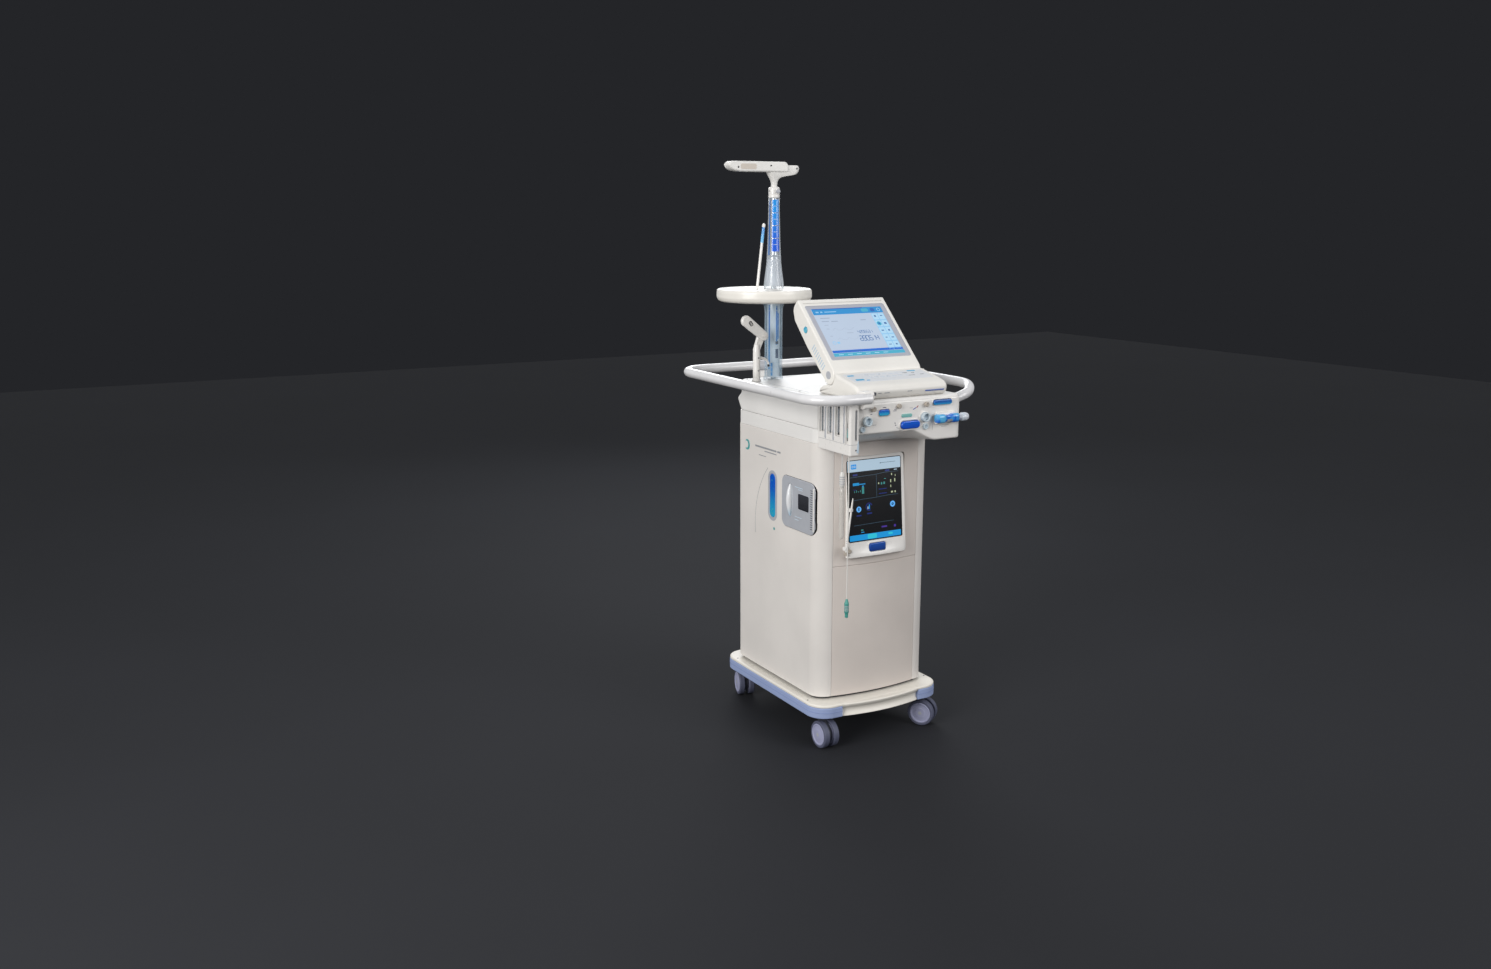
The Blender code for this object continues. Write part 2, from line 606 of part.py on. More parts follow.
def build_head():
    skirt = cabinet_outline(0.0012)
    inside = offset(skirt, 0.005)
    low, high = CABINET_TOP + GAP, HEAD_SEAM_Z - GAP
    mesh_loops = [[(x, y, low) for x, y in inside], [(x, y, low) for x, y in skirt],
                  [(x, y, high) for x, y in skirt], [(x, y, high) for x, y in inside]]
    ring("head_skirt", mesh_loops, WHITE)
    plan = head_outline()

    def level(z, inset, lip=0.0):
        moved = offset(plan, inset)
        return [(x, y + lip * smoothstep(0.10, HEAD_BACK - HEAD_CORNER, y), z) for x, y in moved]

    low = HEAD_SEAM_Z + GAP
    shell = stacked("head_shell", [
        level(DECK_Z - HEAD_WALL, HEAD_WALL), level(low, HEAD_WALL + 0.001), level(low, 0.0015),
        level(low + 0.0015, 0, 0.004), level(HEAD_LIP_Z - 0.006, 0, HEAD_LIP_OUT - 0.003),
        level(HEAD_LIP_Z, 0, HEAD_LIP_OUT), level(HEAD_LIP_Z + 0.006, 0, HEAD_LIP_OUT - 0.004),
        level(HEAD_INSET_Z - 0.008, 0, 0.004), level(HEAD_INSET_Z, 0), level(DECK_Z - 0.006, 0),
        level(DECK_Z - 0.0018, 0.0018), level(DECK_Z, 0.006)], WHITE)
    front = -HEAD_FRONT
    for name, centre in PORTS.items():
        cut(shell, prism("shell_" + name, "Y", circle(*centre, PORT_R + 0.002, 20), front - 0.01, front + 0.03))
    relief = [(-0.17, front - 0.01), (0.19, front - 0.01), (0.19, front + FASCIA_T + STEP_DEPTH + GAP),
              (-0.17, front + FASCIA_T + STEP_DEPTH + GAP)]
    cut(shell, prism("fascia_relief", "Z", relief, HEAD_SEAM_Z - 0.01, STEP_TOP + GAP))
    fascia()
    module()


def ring(name, loops, look):
    """A closed band: the loops are joined each to the next, and the last to the first."""
    mesh = bmesh.new()
    rings = [[mesh.verts.new(point) for point in loop] for loop in loops]
    for low, high in zip(rings, rings[1:] + rings[:1]):
        for i in range(len(low)):
            j = (i + 1) % len(low)
            mesh.faces.new((low[i], low[j], high[j], high[i]))
    return from_bmesh(name, mesh, look)


def fascia():
    """The front moulding: an upright face, and under it a soffit that sweeps back to the cabinet."""
    front, back = -HEAD_FRONT, -HEAD_FRONT + FASCIA_T
    step = back + STEP_DEPTH
    wall = -HALF_D - CABINET_BOW - 0.0012 - SEAM
    floor = HEAD_SEAM_Z - GAP
    left, right = MODULE_INNER_X + SEAM, HEAD_W / 2 - 0.0006
    loops = []
    stations = [0, 0.02, 0.06] + [0.06 + 0.88 * i / 10 for i in range(1, 11)] + [0.98, 1]
    for share in stations:
        x = left + (right - left) * share
        ease = 0.004 * (1 - smoothstep(0, 0.010, min(x - left, right - x)))
        bottom = FASCIA_LOW_LEFT + (FASCIA_LOW_RIGHT - FASCIA_LOW_LEFT) * smoothstep(0.015, 0.105, x)
        end = CABINET_TOP + 0.0012
        span = wall - front
        curve = [(front + 0.0008 + ease, bottom + 0.002), (front + 0.003 + ease, bottom)]
        for k in range(1, 5):
            t = k / 4
            curve.append((front + 0.003 + ease + (span - 0.003 - ease) * t,
                          bottom + (end - bottom) * (1.6 * t - 0.6 * t * t)))
        section = [(front + ease, bottom + 0.006)] + curve
        section += [(wall, floor), (step, floor), (step, STEP_TOP), (back, STEP_TOP), (back, FASCIA_TOP),
                    (front + 0.002 + ease, FASCIA_TOP), (front + ease, FASCIA_TOP - 0.0025)]
        loops.append([(x, y, z) for y, z in section])
    face = stacked("front_fascia", loops, WHITE)
    ear = prism("rail_ear", "X", rounded(-RAIL_FRONT + 0.0135, RAIL_Z - 0.0045, 0.037, 0.045, 0.009, 4),
                left + 0.002, -0.118)
    join(face, ear)
    cut(face, prism("ear_socket", "X", circle(-RAIL_FRONT, RAIL_Z, RAIL_R * 1.03, 20), -0.16, -0.128))
    for name, spot, reach in (("key_cyan", KEY_CYAN, 0.0035), ("lever_blue", LEVER_BLUE, 0.008),
                              ("latch_blue", LATCH_BLUE, 0.007)):
        outline = rounded(spot["x"], spot["z"], spot["w"], spot["h"], spot["h"] / 2 - 0.0008, 4)
        cut(face, prism(name + "_well", "Y", offset(outline, -RUN), front - 0.02, front + KEY_DEPTH))
        prism(name, "Y", outline, front - reach, front + KEY_DEPTH - 0.0032, BLUE,
              pivot=(spot["x"], front, spot["z"]), edge=0.0016)
    for name, (x, z) in KNOBS.items():
        bore = circle(x, z, KNOB_SHAFT_R * 1.14, 12)
        cut(face, prism(name + "_bore", "Y", bore, front - 0.02, front + 0.0045))
        profile = [(0, front + 0.004), (KNOB_SHAFT_R, front + 0.004), (KNOB_SHAFT_R, front - 0.001),
                   (KNOB_R, front - 0.001), (KNOB_R, front - 0.009), (KNOB_R - 0.001, front - 0.010),
                   (0, front - 0.010)]
        turned(name, "Y", (x, z), profile, WHITE, pivot=(x, front, z), count=20)
    for name, (x, z) in PORTS.items():
        root = front + FASCIA_T + 0.018
        cut(face, prism(name + "_hole", "Y", circle(x, z, PORT_R + 0.0006, 24), front - 0.02, 0))
        profile = [(PORT_BORE, root), (PORT_BORE, front - PORT_REACH + 0.001),
                   (PORT_BORE + 0.001, front - PORT_REACH), (PORT_R - 0.0012, front - PORT_REACH),
                   (PORT_R, front - PORT_REACH + 0.0012), (PORT_R, root)]
        turned(name, "Y", (x, z), profile, STEEL, count=18)
    body_x, body_z = CONNECTOR_X, CONNECTOR_Z
    body = prism("connector_body", "X", rounded(front - 0.013, body_z, 0.024, 0.024, 0.008, 4),
                 body_x - 0.035, body_x + 0.035, BLUE, edge=0.003)
    tip = [(0, body_x + 0.030), (0.0065, body_x + 0.030), (0.0065, body_x + 0.042), (0.0105, body_x + 0.046),
           (0.0115, body_x + 0.060), (0.009, body_x + 0.068), (0, body_x + 0.070)]
    join(body, turned("connector_tip", "X", (front - 0.013, body_z), tip, count=20))


def module():
    """The sample module on the front-left corner: upright tubes and dark slots over a white block."""
    left, right = -HEAD_W / 2 - 0.0005, MODULE_INNER_X - GAP
    front, back = -MODULE_FRONT, -MODULE_BACK - GAP
    mid = (left + right) / 2
    top = DECK_Z - 0.004
    block = prism("side_module", "Z", rounded(mid, (front + back) / 2, right - left, back - front, 0.005, 3),
                  MODULE_BOTTOM, top, WHITE, edge=0.002)
    slot_z = (0.872, top - 0.008)
    for i, y in enumerate((-0.225, -0.262, -0.300)):
        cut(block, prism(f"groove_{i}", "Z", rounded(left, y, 0.012, 0.020, 0.004, 3), *slot_z))
    ribs = [turned(f"rib_{i}", "Z", (left + 0.003, y), [(0, 0.860), (0.0045, 0.860), (0.0045, top - 0.004),
                                                        (0, top - 0.004)], count=12)
            for i, y in enumerate((-0.2435, -0.281, -0.330))]
    join(block, *ribs)
    cut(block, prism("module_relief", "Z", cabinet_outline(-0.0012), MODULE_BOTTOM - 0.02, HEAD_SEAM_Z))


# ---- rail, mast and post ------------------------------------------------------------------------
def rail_points():
    """From the ear at the front left, round the back, to the right side of the head."""
    w, f, z = RAIL_HALF_W, RAIL_FRONT, RAIL_Z
    points = [(-0.1285, -f, z), (-0.150, -f, z)]
    r = RAIL_FRONT_BEND
    points += [(x, y, z) for x, y in arc(-w + r, -f + r, r, 270, 180, 9)]
    points += [(-w, -0.10, z), (-w, 0.12, z)]
    r = RAIL_REAR_BEND
    points += [(x, y, z) for x, y in arc(-w + r, RAIL_BACK - r, r, 180, 90, 9)]
    points += [(0, RAIL_BACK, z)]
    points += [(x, y, z) for x, y in arc(w - r, RAIL_BACK - r, r, 90, 0, 9)]
    points += [(w, 0.12, z), (w, -0.05, z)]
    bend = smooth_route([(w, -0.180, z), (w - 0.0005, -0.215, z), (0.2735, -0.249, z - 0.002),
                         (0.2595, -0.277, z - 0.008), (0.2350, -0.296, z - 0.018),
                         (HEAD_W / 2 + 0.005, -0.302, z - 0.031)], 0.014)
    return points + [tuple(p) for p in bend]


def build_rail():
    tube("rail", rail_points(), RAIL_R, STEEL, 3)
    low = HEAD_INSET_Z + 0.004
    saddle_y, saddle_z = RAIL_BACK, RAIL_Z - RAIL_R - GAP * 2
    reach = HEAD_BACK + GAP
    profile = [(reach, low), (reach + 0.010, low - 0.004), (saddle_y - 0.040, low - 0.004),
               (saddle_y + 0.004, saddle_z - 0.010), (saddle_y + 0.004, saddle_z),
               (saddle_y - 0.020, saddle_z), (saddle_y - 0.050, low + 0.010), (reach, low + 0.014)]
    prism("rail_bracket", "X", profile, -0.028, 0.028, WHITE)


def build_mast():
    centre = (MAST_X, MAST_Y)
    low = DECK_Z + GAP
    top = TRAY_Z0 - GAP
    bore = MAST_R - MAST_WALL
    turned("mast_lower", "Z", centre, [
        (bore, low), (MAST_R + 0.003, low), (MAST_R + 0.003, low + 0.004), (MAST_R, low + 0.007),
        (MAST_R, top - 0.028), (MAST_R + 0.0015, top - 0.016), (MAST_R + 0.006, top - 0.006),
        (MAST_R + 0.012, top), (bore, top)], CLEAR, count=20)
    tray = turned("tray_disc", "Z", (TRAY_X, MAST_Y), [
        (0, TRAY_Z0), (TRAY_R - 0.012, TRAY_Z0), (TRAY_R - 0.004, TRAY_Z0 + 0.004), (TRAY_R, TRAY_Z0 + 0.012),
        (TRAY_R, TRAY_Z1 - 0.010), (TRAY_R - 0.003, TRAY_Z1 - 0.003), (TRAY_R - 0.009, TRAY_Z1),
        (0, TRAY_Z1)], WHITE, count=36)
    cut(tray, prism("tray_bore", "Z", circle(*centre, CORE_R * 1.08, 20), TRAY_Z0 - 0.02, TRAY_Z1 + 0.02))
    low = TRAY_Z1 + GAP
    wall = 0.002
    outside = [(0.0295, low), (0.0270, low + 0.022), (0.0210, 1.290), (0.0182, 1.350), (0.0162, 1.420),
               (0.0155, COLLAR_Z0 - GAP)]
    inside = [(r - wall, z) for r, z in outside[::-1]]
    turned("mast_upper", "Z", centre, outside + inside, CLEAR, count=18)
    core_top = COLLAR_Z0 + 0.009
    turned("mast_core", "Z", centre, [
        (0, DECK_Z + GAP), (CORE_R, DECK_Z + GAP), (CORE_R, TRAY_Z1 + 0.006), (0.0140, TRAY_Z1 + 0.010),
        (0.0140, 1.305), (0.0105, 1.312), (0.0095, 1.322), (0.0088, 1.455), (CORE_R, 1.460),
        (CORE_R, core_top), (0, core_top)], STEEL, count=20)
    collar_bore = NECK_R + 0.0005
    turned("mast_collar", "Z", centre, [
        (collar_bore, COLLAR_Z0), (COLLAR_R - 0.001, COLLAR_Z0), (COLLAR_R, COLLAR_Z0 + 0.001),
        (COLLAR_R, COLLAR_Z1 - 0.004), (COLLAR_R - 0.003, COLLAR_Z1), (collar_bore, COLLAR_Z1)],
        WHITE, count=18)
    bar = turned("t_bar", "Z", centre, [
        (0, core_top + GAP), (NECK_R, core_top + GAP), (NECK_R, 1.514), (0.0100, 1.524), (0.0142, 1.534),
        (0.0145, BAR_Z0 + 0.004), (0.0140, BAR_Z0 + 0.010), (0, BAR_Z0 + 0.010)], WHITE,
        pivot=(*centre, BAR_Z0), count=18)
    left_end, right_end = MAST_X - BAR_LEFT, MAST_X + BAR_RIGHT
    step_x = MAST_X + BAR_STEP
    main = prism("left_arm", "Z", rounded((left_end + step_x) / 2, MAST_Y, step_x - left_end, 0.034, 0.0150, 4),
                 BAR_Z0, BAR_Z1, edge=0.006)
    step = prism("right_arm", "Z", rounded((MAST_X + right_end) / 2, MAST_Y, BAR_RIGHT, 0.030, 0.0130, 4),
                 BAR_Z0 - 0.001, BAR_Z1 - 0.006, edge=0.005)
    join(bar, main, step)
    foot = Vector((-0.144, MAST_Y, TRAY_Z1 + GAP * 3))
    tip = Vector((-0.123, MAST_Y, 1.395))
    tube("guide_rod", [foot, foot.lerp(tip, 0.25), foot.lerp(tip, 0.5), foot.lerp(tip, 0.75), tip], 0.0038,
         WHITE, 2)


def capsule(ax, ay, ar, bx, by, br, count=10):
    """The outline round two circles, anticlockwise."""
    along = Vector((bx - ax, by - ay))
    turn = math.degrees(math.atan2(along.y, along.x))
    lean = math.degrees(math.acos((ar - br) / along.length))
    start = arc(ax, ay, ar, turn + lean, turn + 360 - lean, count)
    return start + arc(bx, by, br, turn - lean, turn + lean, count)


def build_post():
    low = DECK_Z + GAP
    knuckle = (KNUCKLE_X, KNUCKLE_Z)
    plate_y = (POST_Y - 0.004, POST_Y + 0.007)
    post = turned("post", "Z", (POST_X, POST_Y), [
        (0, low), (POST_R + 0.003, low), (POST_R + 0.003, low + 0.003), (POST_R, low + 0.006),
        (POST_R, 1.040), (POST_R - 0.002, 1.058), (POST_R - 0.003, 1.066), (0, 1.066)], WHITE, count=20)
    neck = prism("post_neck", "Y", capsule(POST_X, 1.050, 0.0090, *knuckle, 0.0110, 8), *plate_y)
    pin_end = plate_y[0] - LEVER_T - 0.002
    pin = turned("lever_pin", "Y", knuckle, [(0, POST_Y), (0.004, POST_Y), (0.004, pin_end), (0, pin_end)],
                 count=14)
    hook = smooth_hook()
    join(post, neck, pin, hook)
    lever = prism("lever_head", "Y", capsule(*knuckle, 0.0135, LEVER_END_X, LEVER_END_Z, 0.0155, 12),
                  plate_y[0] - GAP - LEVER_T, plate_y[0] - GAP, WHITE, edge=0.003,
                  pivot=(KNUCKLE_X, POST_Y, KNUCKLE_Z))
    cut(lever, prism("pin_hole", "Y", circle(*knuckle, 0.0047, 16), POST_Y - 0.05, POST_Y + 0.05))
    eye = rounded(0, 0, 0.0125, 0.0065, 0.003, 3)
    slope = Matrix.Rotation(math.radians(-52), 2)
    eye = [tuple(slope @ Vector(p) + Vector((-0.190, 1.126))) for p in eye]
    cut(lever, prism("lever_eye", "Y", eye, POST_Y - 0.05, POST_Y + 0.05))


def smooth_hook():
    """The small hook on the post's side, arched outwards and down."""
    loops = []
    for i in range(9):
        t = i / 8
        angle = math.radians(90 - 95 * t)
        x = -0.1535 + 0.030 * math.cos(angle)
        z = 1.007 + 0.020 * math.sin(angle)
        r = 0.0042 - 0.0016 * t
        out = Vector((math.cos(angle), 0, math.sin(angle)))
        centre = Vector((x, POST_Y, z))
        loops.append([tuple(centre + out * (r * math.cos(a)) + Vector((0, r * math.sin(a), 0)))
                      for a in (math.radians(45 * k) for k in range(8))])
    return stacked("hook", loops)


# ---- console ------------------------------------------------------------------------------------
def along_console(along, out):
    """A (y, z) point: along the console from its tilt axis, and out from its middle plane."""
    tilt = math.radians(CONSOLE_TILT)
    return (HINGE_Y + along * math.cos(tilt) - out * math.sin(tilt),
            HINGE_Z + along * math.sin(tilt) + out * math.cos(tilt))


def build_console():
    half, deep = CONSOLE_W / 2, CONSOLE_T / 2
    axis = (0, HINGE_Y, HINGE_Z)
    nose = [along_console(deep * math.cos(a), deep * math.sin(a))
            for a in (math.radians(90 + 180 * k / 10) for k in range(11))]
    tail = [along_console(0.120, -deep - 0.004), along_console(CONSOLE_L - 0.030, -deep),
            along_console(CONSOLE_L - 0.006, -deep + 0.012), along_console(CONSOLE_L, -deep + 0.022),
            along_console(CONSOLE_L, deep - 0.005), along_console(CONSOLE_L - 0.004, deep)]
    outline = nose + tail
    body = prism("console_housing", "X", outline, -half, half, WHITE, pivot=axis, edge=0.005)
    middle = 0.030 + SCREEN_L / 2

    def slab(name, low, high, grow, look=None):
        """A slab lying in the console's front face, from low to high out of it."""
        outline_2d = rounded(0, middle, SCREEN_W + 2 * grow, SCREEN_L + 2 * grow, 0.004 + grow, 3)
        loops = [[(u, *along_console(v, deep + w)) for u, v in outline_2d] for w in (low, high)]
        return stacked(name, loops, look, pivot=axis if look else None)

    slab("console_screen", -0.0022, 0.0004, 0, GLASS)
    cut(body, slab("console_pocket", -0.0025, 0.01, GAP))
    y, z = along_console(DIAL_ALONG, 0.0)
    cut(body, prism("dial_well", "X", circle(y, z, DIAL_R + 0.0008, 24), -half - 0.01, -half + 0.006))
    turned("console_dial", "X", (y, z), [
        (0, -half + 0.0025), (DIAL_R, -half + 0.0025), (DIAL_R, -half - 0.0015),
        (DIAL_R - 0.001, -half - 0.0025), (0, -half - 0.003)], BLUE, pivot=(-half, y, z), count=24)
    low = DECK_Z + GAP
    cradle = arc(HINGE_Y, HINGE_Z, deep + HINGE_RUN, 168, 292, 10)
    profile = [(-0.322, low), (-0.1500, low), (-0.1520, 0.978), (-0.165, 0.984)] + cradle[::-1]
    profile += [(-0.226, 1.0195), (-0.300, 1.0035), (-0.322, 0.9975), (-0.3315, 0.989), (-0.3330, 0.980),
                (-0.3290, 0.969)]
    prism("console_base", "X", profile, -half - 0.0025, half + 0.0025, WHITE, edge=0.004)


# ---- cords --------------------------------------------------------------------------------------
def build_cords():
    """Leads that hang from under the head's front-left corner, each down to its own end piece."""
    low = MODULE_BOTTOM - GAP
    drain = (-0.1640, -0.300)
    tube("drain_cord", smooth_route([(*drain, low), (drain[0], drain[1], low - 0.022),
                                     (drain[0], drain[1], low - 0.050)], 0.006), 0.0022, CLEAR, 2)
    top = low - 0.050 - GAP
    turned("sample_tube", "Z", drain, [
        (0, top), (0.0040, top), (0.0050, top - 0.004), (0.0072, top - 0.010), (0.0072, top - 0.034),
        (0.0058, top - 0.040), (0.0062, top - 0.046), (0.0068, top - 0.050), (0.0068, top - 0.168),
        (0.0052, top - 0.176), (0, top - 0.179)], CLEAR, count=16)
    lead = (-0.1585, -0.322)
    end = 0.4425
    route = [(*lead, low), (*lead, low - 0.06), (lead[0] + 0.0008, lead[1], 0.70),
             (lead[0] + 0.0004, lead[1], 0.60), (*lead, 0.50), (*lead, end)]
    tube("sensor_lead", smooth_route(route, 0.0095), 0.0016, WHITE, 2)
    turned("lead_plug", "Z", lead, [
        (0, end - GAP), (0.0028, end - GAP), (0.0040, end - 0.006), (0.0062, end - 0.012),
        (0.0062, end - 0.036), (0.0045, end - 0.040), (0.0045, end - 0.050), (0, end - 0.052)], BLUE, count=16)


def build_stylus():
    """A pen standing in its clip at the left of the smaller screen."""
    face = -HALF_D - CABINET_BOW
    foot = Vector((-0.113, face - 0.0135, 0.545))
    tip = Vector((-0.093, face - 0.0135, 0.690))
    tube("stylus", [foot.lerp(tip, i / 8) for i in range(9)], 0.0026, WHITE, 2)


build_trolley()
build_cabinet()
build_display()
build_hatch()
build_inside()
build_head()
build_rail()
build_mast()
build_post()
build_console()
build_cords()
build_stylus()
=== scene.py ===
"""Looks of the ventilator: every visible piece finer than its solid, finishes, cords, light and camera.

Metres, +Z up, the front faces -Y. Shapes are drawn about the cabinet's centre line, as its designer would,
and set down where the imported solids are.
"""

from math import acos, atan2, cos, degrees, exp, pi, radians, sin, sqrt, tan

import bmesh
import bpy
from mathutils import Matrix, Vector


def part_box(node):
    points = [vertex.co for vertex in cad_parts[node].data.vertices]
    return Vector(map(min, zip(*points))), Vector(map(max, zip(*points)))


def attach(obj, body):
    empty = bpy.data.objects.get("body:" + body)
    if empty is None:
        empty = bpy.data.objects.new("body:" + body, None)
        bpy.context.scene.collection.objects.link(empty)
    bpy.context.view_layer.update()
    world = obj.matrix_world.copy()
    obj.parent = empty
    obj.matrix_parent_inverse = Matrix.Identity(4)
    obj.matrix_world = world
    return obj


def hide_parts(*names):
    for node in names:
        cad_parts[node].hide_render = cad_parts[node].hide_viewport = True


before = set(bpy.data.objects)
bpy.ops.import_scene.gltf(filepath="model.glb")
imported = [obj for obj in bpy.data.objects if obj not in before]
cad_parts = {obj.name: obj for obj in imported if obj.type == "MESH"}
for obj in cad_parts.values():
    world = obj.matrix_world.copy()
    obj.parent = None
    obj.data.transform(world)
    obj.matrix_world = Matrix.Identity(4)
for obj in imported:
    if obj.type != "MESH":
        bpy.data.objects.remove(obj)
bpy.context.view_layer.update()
_low, _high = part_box("base_frame")
MIDDLE_Y = (_low.y + _high.y) / 2  # the cabinet stands a little ahead of the rail loop's middle


def span(node):
    """A solid's corners, with y counted from the cabinet's middle."""
    low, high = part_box(node)
    shift = Vector((0, MIDDLE_Y, 0))
    return low - shift, high - shift


# ---- sizes ----
SEAM = 0.0008
RUN = 0.0012
SKIN = 0.00025  # how far printing or a lens stands proud

CABINET_LOW, CABINET_HIGH = span("side_panel_left")
HALF_W = -CABINET_LOW.x
HALF_D = span("rear_panel")[1].y
CABINET_CORNER = 0.045
CABINET_REAR_CORNER = 0.018
CABINET_BOW = 0.0135
CABINET_BOTTOM = CABINET_LOW.z
CABINET_TOP = CABINET_HIGH.z
FRONT_SEAM_Z = 0.5
PANEL_WALL = 0.004
FRONT_HALF = HALF_W - CABINET_CORNER

BASE_LOW, BASE_HIGH = span("bumper_left")
BASE_HALF_W = -BASE_LOW.x
BASE_HALF_D = BASE_HIGH.y
BASE_CORNER = 0.055
BASE_BOTTOM = span("base_frame")[0].z
BASE_TOP = 0.128
BASE_LIP = 0.0075
BUMPER_WALL = 0.012
BUMPER_WRAP = 0.08
RIB_LOW = 0.106
RIB_HIGH = 0.1078
VALANCE_BOW = 0.015
PLINTH_INSET = 0.01

WHEEL_R = 0.0375
WHEEL_W = 0.017
WHEEL_GAP = 0.013
CASTER_X = 0.16
CASTER_Y = 0.208
CASTER_TRAIL = 0.022
STEM_R = 0.006
CASTER_YAW = {"front_left": 0, "front_right": 35, "rear_left": 165, "rear_right": 200}

HEAD_W = 0.36
HEAD_FRONT = 0.34
HEAD_BACK = 0.2135
HEAD_CORNER = 0.02
HEAD_WALL = 0.004
HEAD_SEAM_Z = 0.8746
HEAD_LIP_Z = 0.905
HEAD_LIP_OUT = 0.0215
HEAD_INSET_Z = 0.93
DECK_Z = 0.962
FASCIA_T = 0.0055
FASCIA_TOP = 0.9535
FASCIA_LOW_LEFT = 0.876
FASCIA_LOW_RIGHT = 0.844
MODULE_INNER_X = -0.1515
MODULE_FRONT = 0.358
MODULE_BACK = 0.206
MODULE_BOTTOM = 0.828
KEY_CYAN = dict(x=-0.066, z=0.929, w=0.033, h=0.016)
LEVER_BLUE = dict(x=0.016, z=0.892, w=0.058, h=0.02)
LATCH_BLUE = dict(x=0.119, z=0.944, w=0.058, h=0.013)
PORTS = {"port_expiratory": (-0.119, 0.9105), "port_inspiratory": (0.063, 0.9085)}
PORT_R = 0.0125
PORT_BORE = 0.0085
PORT_REACH = 0.012
KNOBS = {"knob_left": (-0.101, 0.941), "knob_right": (0.066, 0.9415)}
KNOB_R = 0.0065
CONNECTOR_X = 0.127
CONNECTOR_Z = 0.902

RAIL_R = 0.0135
RAIL_Z = 0.9725
RAIL_HALF_W = 0.278
RAIL_BACK = 0.4
RAIL_FRONT = 0.368
RAIL_REAR_BEND = 0.075
RAIL_FRONT_BEND = 0.09

CONSOLE_HALF = 0.14
CONSOLE_T = 0.05
CONSOLE_L = 0.244
CONSOLE_TILT = 43.5
HINGE_Y = -0.193
HINGE_Z = 1.0137
HINGE_RUN = 0.002
SCREEN_W = 0.252
SCREEN_L = 0.188
SCREEN_FOOT = 0.03
DIAL_ALONG = 0.158
DIAL_R = 0.0085

DISPLAY_W = 0.188
DISPLAY_X = -0.0075
DISPLAY_Z0 = 0.524
DISPLAY_Z1 = 0.797
DISPLAY_CORNER = 0.012
GLASS_W = 0.175
GLASS_H = 0.22
GLASS_X = -0.0125
GLASS_Z = 0.677
BUTTON_W = 0.052
BUTTON_H = 0.022
BUTTON_X = -0.0105
BUTTON_Z = 0.548

HATCH_Y0, HATCH_Y1 = -0.198, -0.031
HATCH_Z0, HATCH_Z1 = 0.585, 0.727
HATCH_CORNER = 0.022
HATCH_OUT = -HALF_W - 0.0015
HATCH_T = 0.004
HANDLE_Y = -0.074
HANDLE_Z = 0.6625
HANDLE_W = 0.017
HANDLE_H = 0.09
WINDOW_Y = 0.021
WINDOW_Z = 0.656
WINDOW_W = 0.03
WINDOW_H = 0.124

MAST_X = -0.09
MAST_Y = 0.175
MAST_R = 0.0255
TRAY_X = -0.121
TRAY_R = 0.1345
TRAY_Z0 = 1.1835
TRAY_Z1 = 1.2185
CORE_R = 0.0075
COLLAR_R = 0.0155
COLLAR_Z0 = 1.469
COLLAR_Z1 = 1.499
NECK_R = 0.0085
BAR_Z0 = 1.539
BAR_Z1 = 1.567
BAR_LEFT = 0.153
BAR_RIGHT = 0.079
BAR_STEP = 0.038
POST_X = -0.162
POST_Y = 0.146
POST_R = 0.0105
KNUCKLE = (-0.1465, 1.09)
LEVER_END = (-0.202, 1.133)
LEVER_T = 0.013


# ---- outlines and meshes ----
def arc(cx, cy, radius, start, end, count=12):
    """Points on an arc, in degrees."""
    angles = [radians(start + (end - start) * i / count) for i in range(count + 1)]
    return [(cx + radius * cos(a), cy + radius * sin(a)) for a in angles]


def rounded(cx, cy, width, height, radius, count=10):
    """A rectangle with round corners, anticlockwise."""
    x, y = width / 2 - radius, height / 2 - radius
    points = []
    for sx, sy, start in ((1, -1, 270), (1, 1, 0), (-1, 1, 90), (-1, -1, 180)):
        points += arc(cx + sx * x, cy + sy * y, radius, start, start + 90, count)
    return points


def circle(cx, cy, radius, count=64):
    return arc(cx, cy, radius, 0, 360 - 360 / count, count - 1)


def offset(outline, inset, closed=True):
    """An outline moved inwards, to the left of its direction of travel."""
    if not inset:
        return list(outline)
    moved = []
    count = len(outline)
    for i, point in enumerate(outline):
        here = Vector(point)
        before = here - Vector(outline[i - 1]) if closed or i else None
        after = Vector(outline[(i + 1) % count]) - here if closed or i < count - 1 else None
        ways = [way.normalized() for way in (before, after) if way]
        sides = [Vector((-way.y, way.x)) for way in ways]
        middle = sum(sides, Vector((0, 0))).normalized()
        moved.append(tuple(here + middle * (inset / max(middle.dot(sides[0]), 0.4))))
    return moved


def softened(points, radius, closed=True, count=4):
    """A polyline with each real corner turned into a small curve."""
    soft = []
    total = len(points)
    for i, point in enumerate(points):
        here = Vector(point)
        if not closed and i in (0, total - 1):
            soft.append(tuple(here))
            continue
        before, after = Vector(points[i - 1]) - here, Vector(points[(i + 1) % total]) - here
        reach = min(radius, before.length * 0.45, after.length * 0.45)
        if reach < 1e-6 or degrees(before.angle(-after)) < 8:
            soft.append(tuple(here))
            continue
        start, end = here + before.normalized() * reach, here + after.normalized() * reach
        for k in range(count + 1):
            t = k / count
            soft.append(tuple(start * (1 - t) ** 2 + here * (2 * t * (1 - t)) + end * t * t))
    return soft


def place(axis, u, v, w):
    """A point of an outline (u, v) at the height w along an axis."""
    return {"X": (w, u, v), "Y": (u, w, v), "Z": (u, v, w)}[axis]


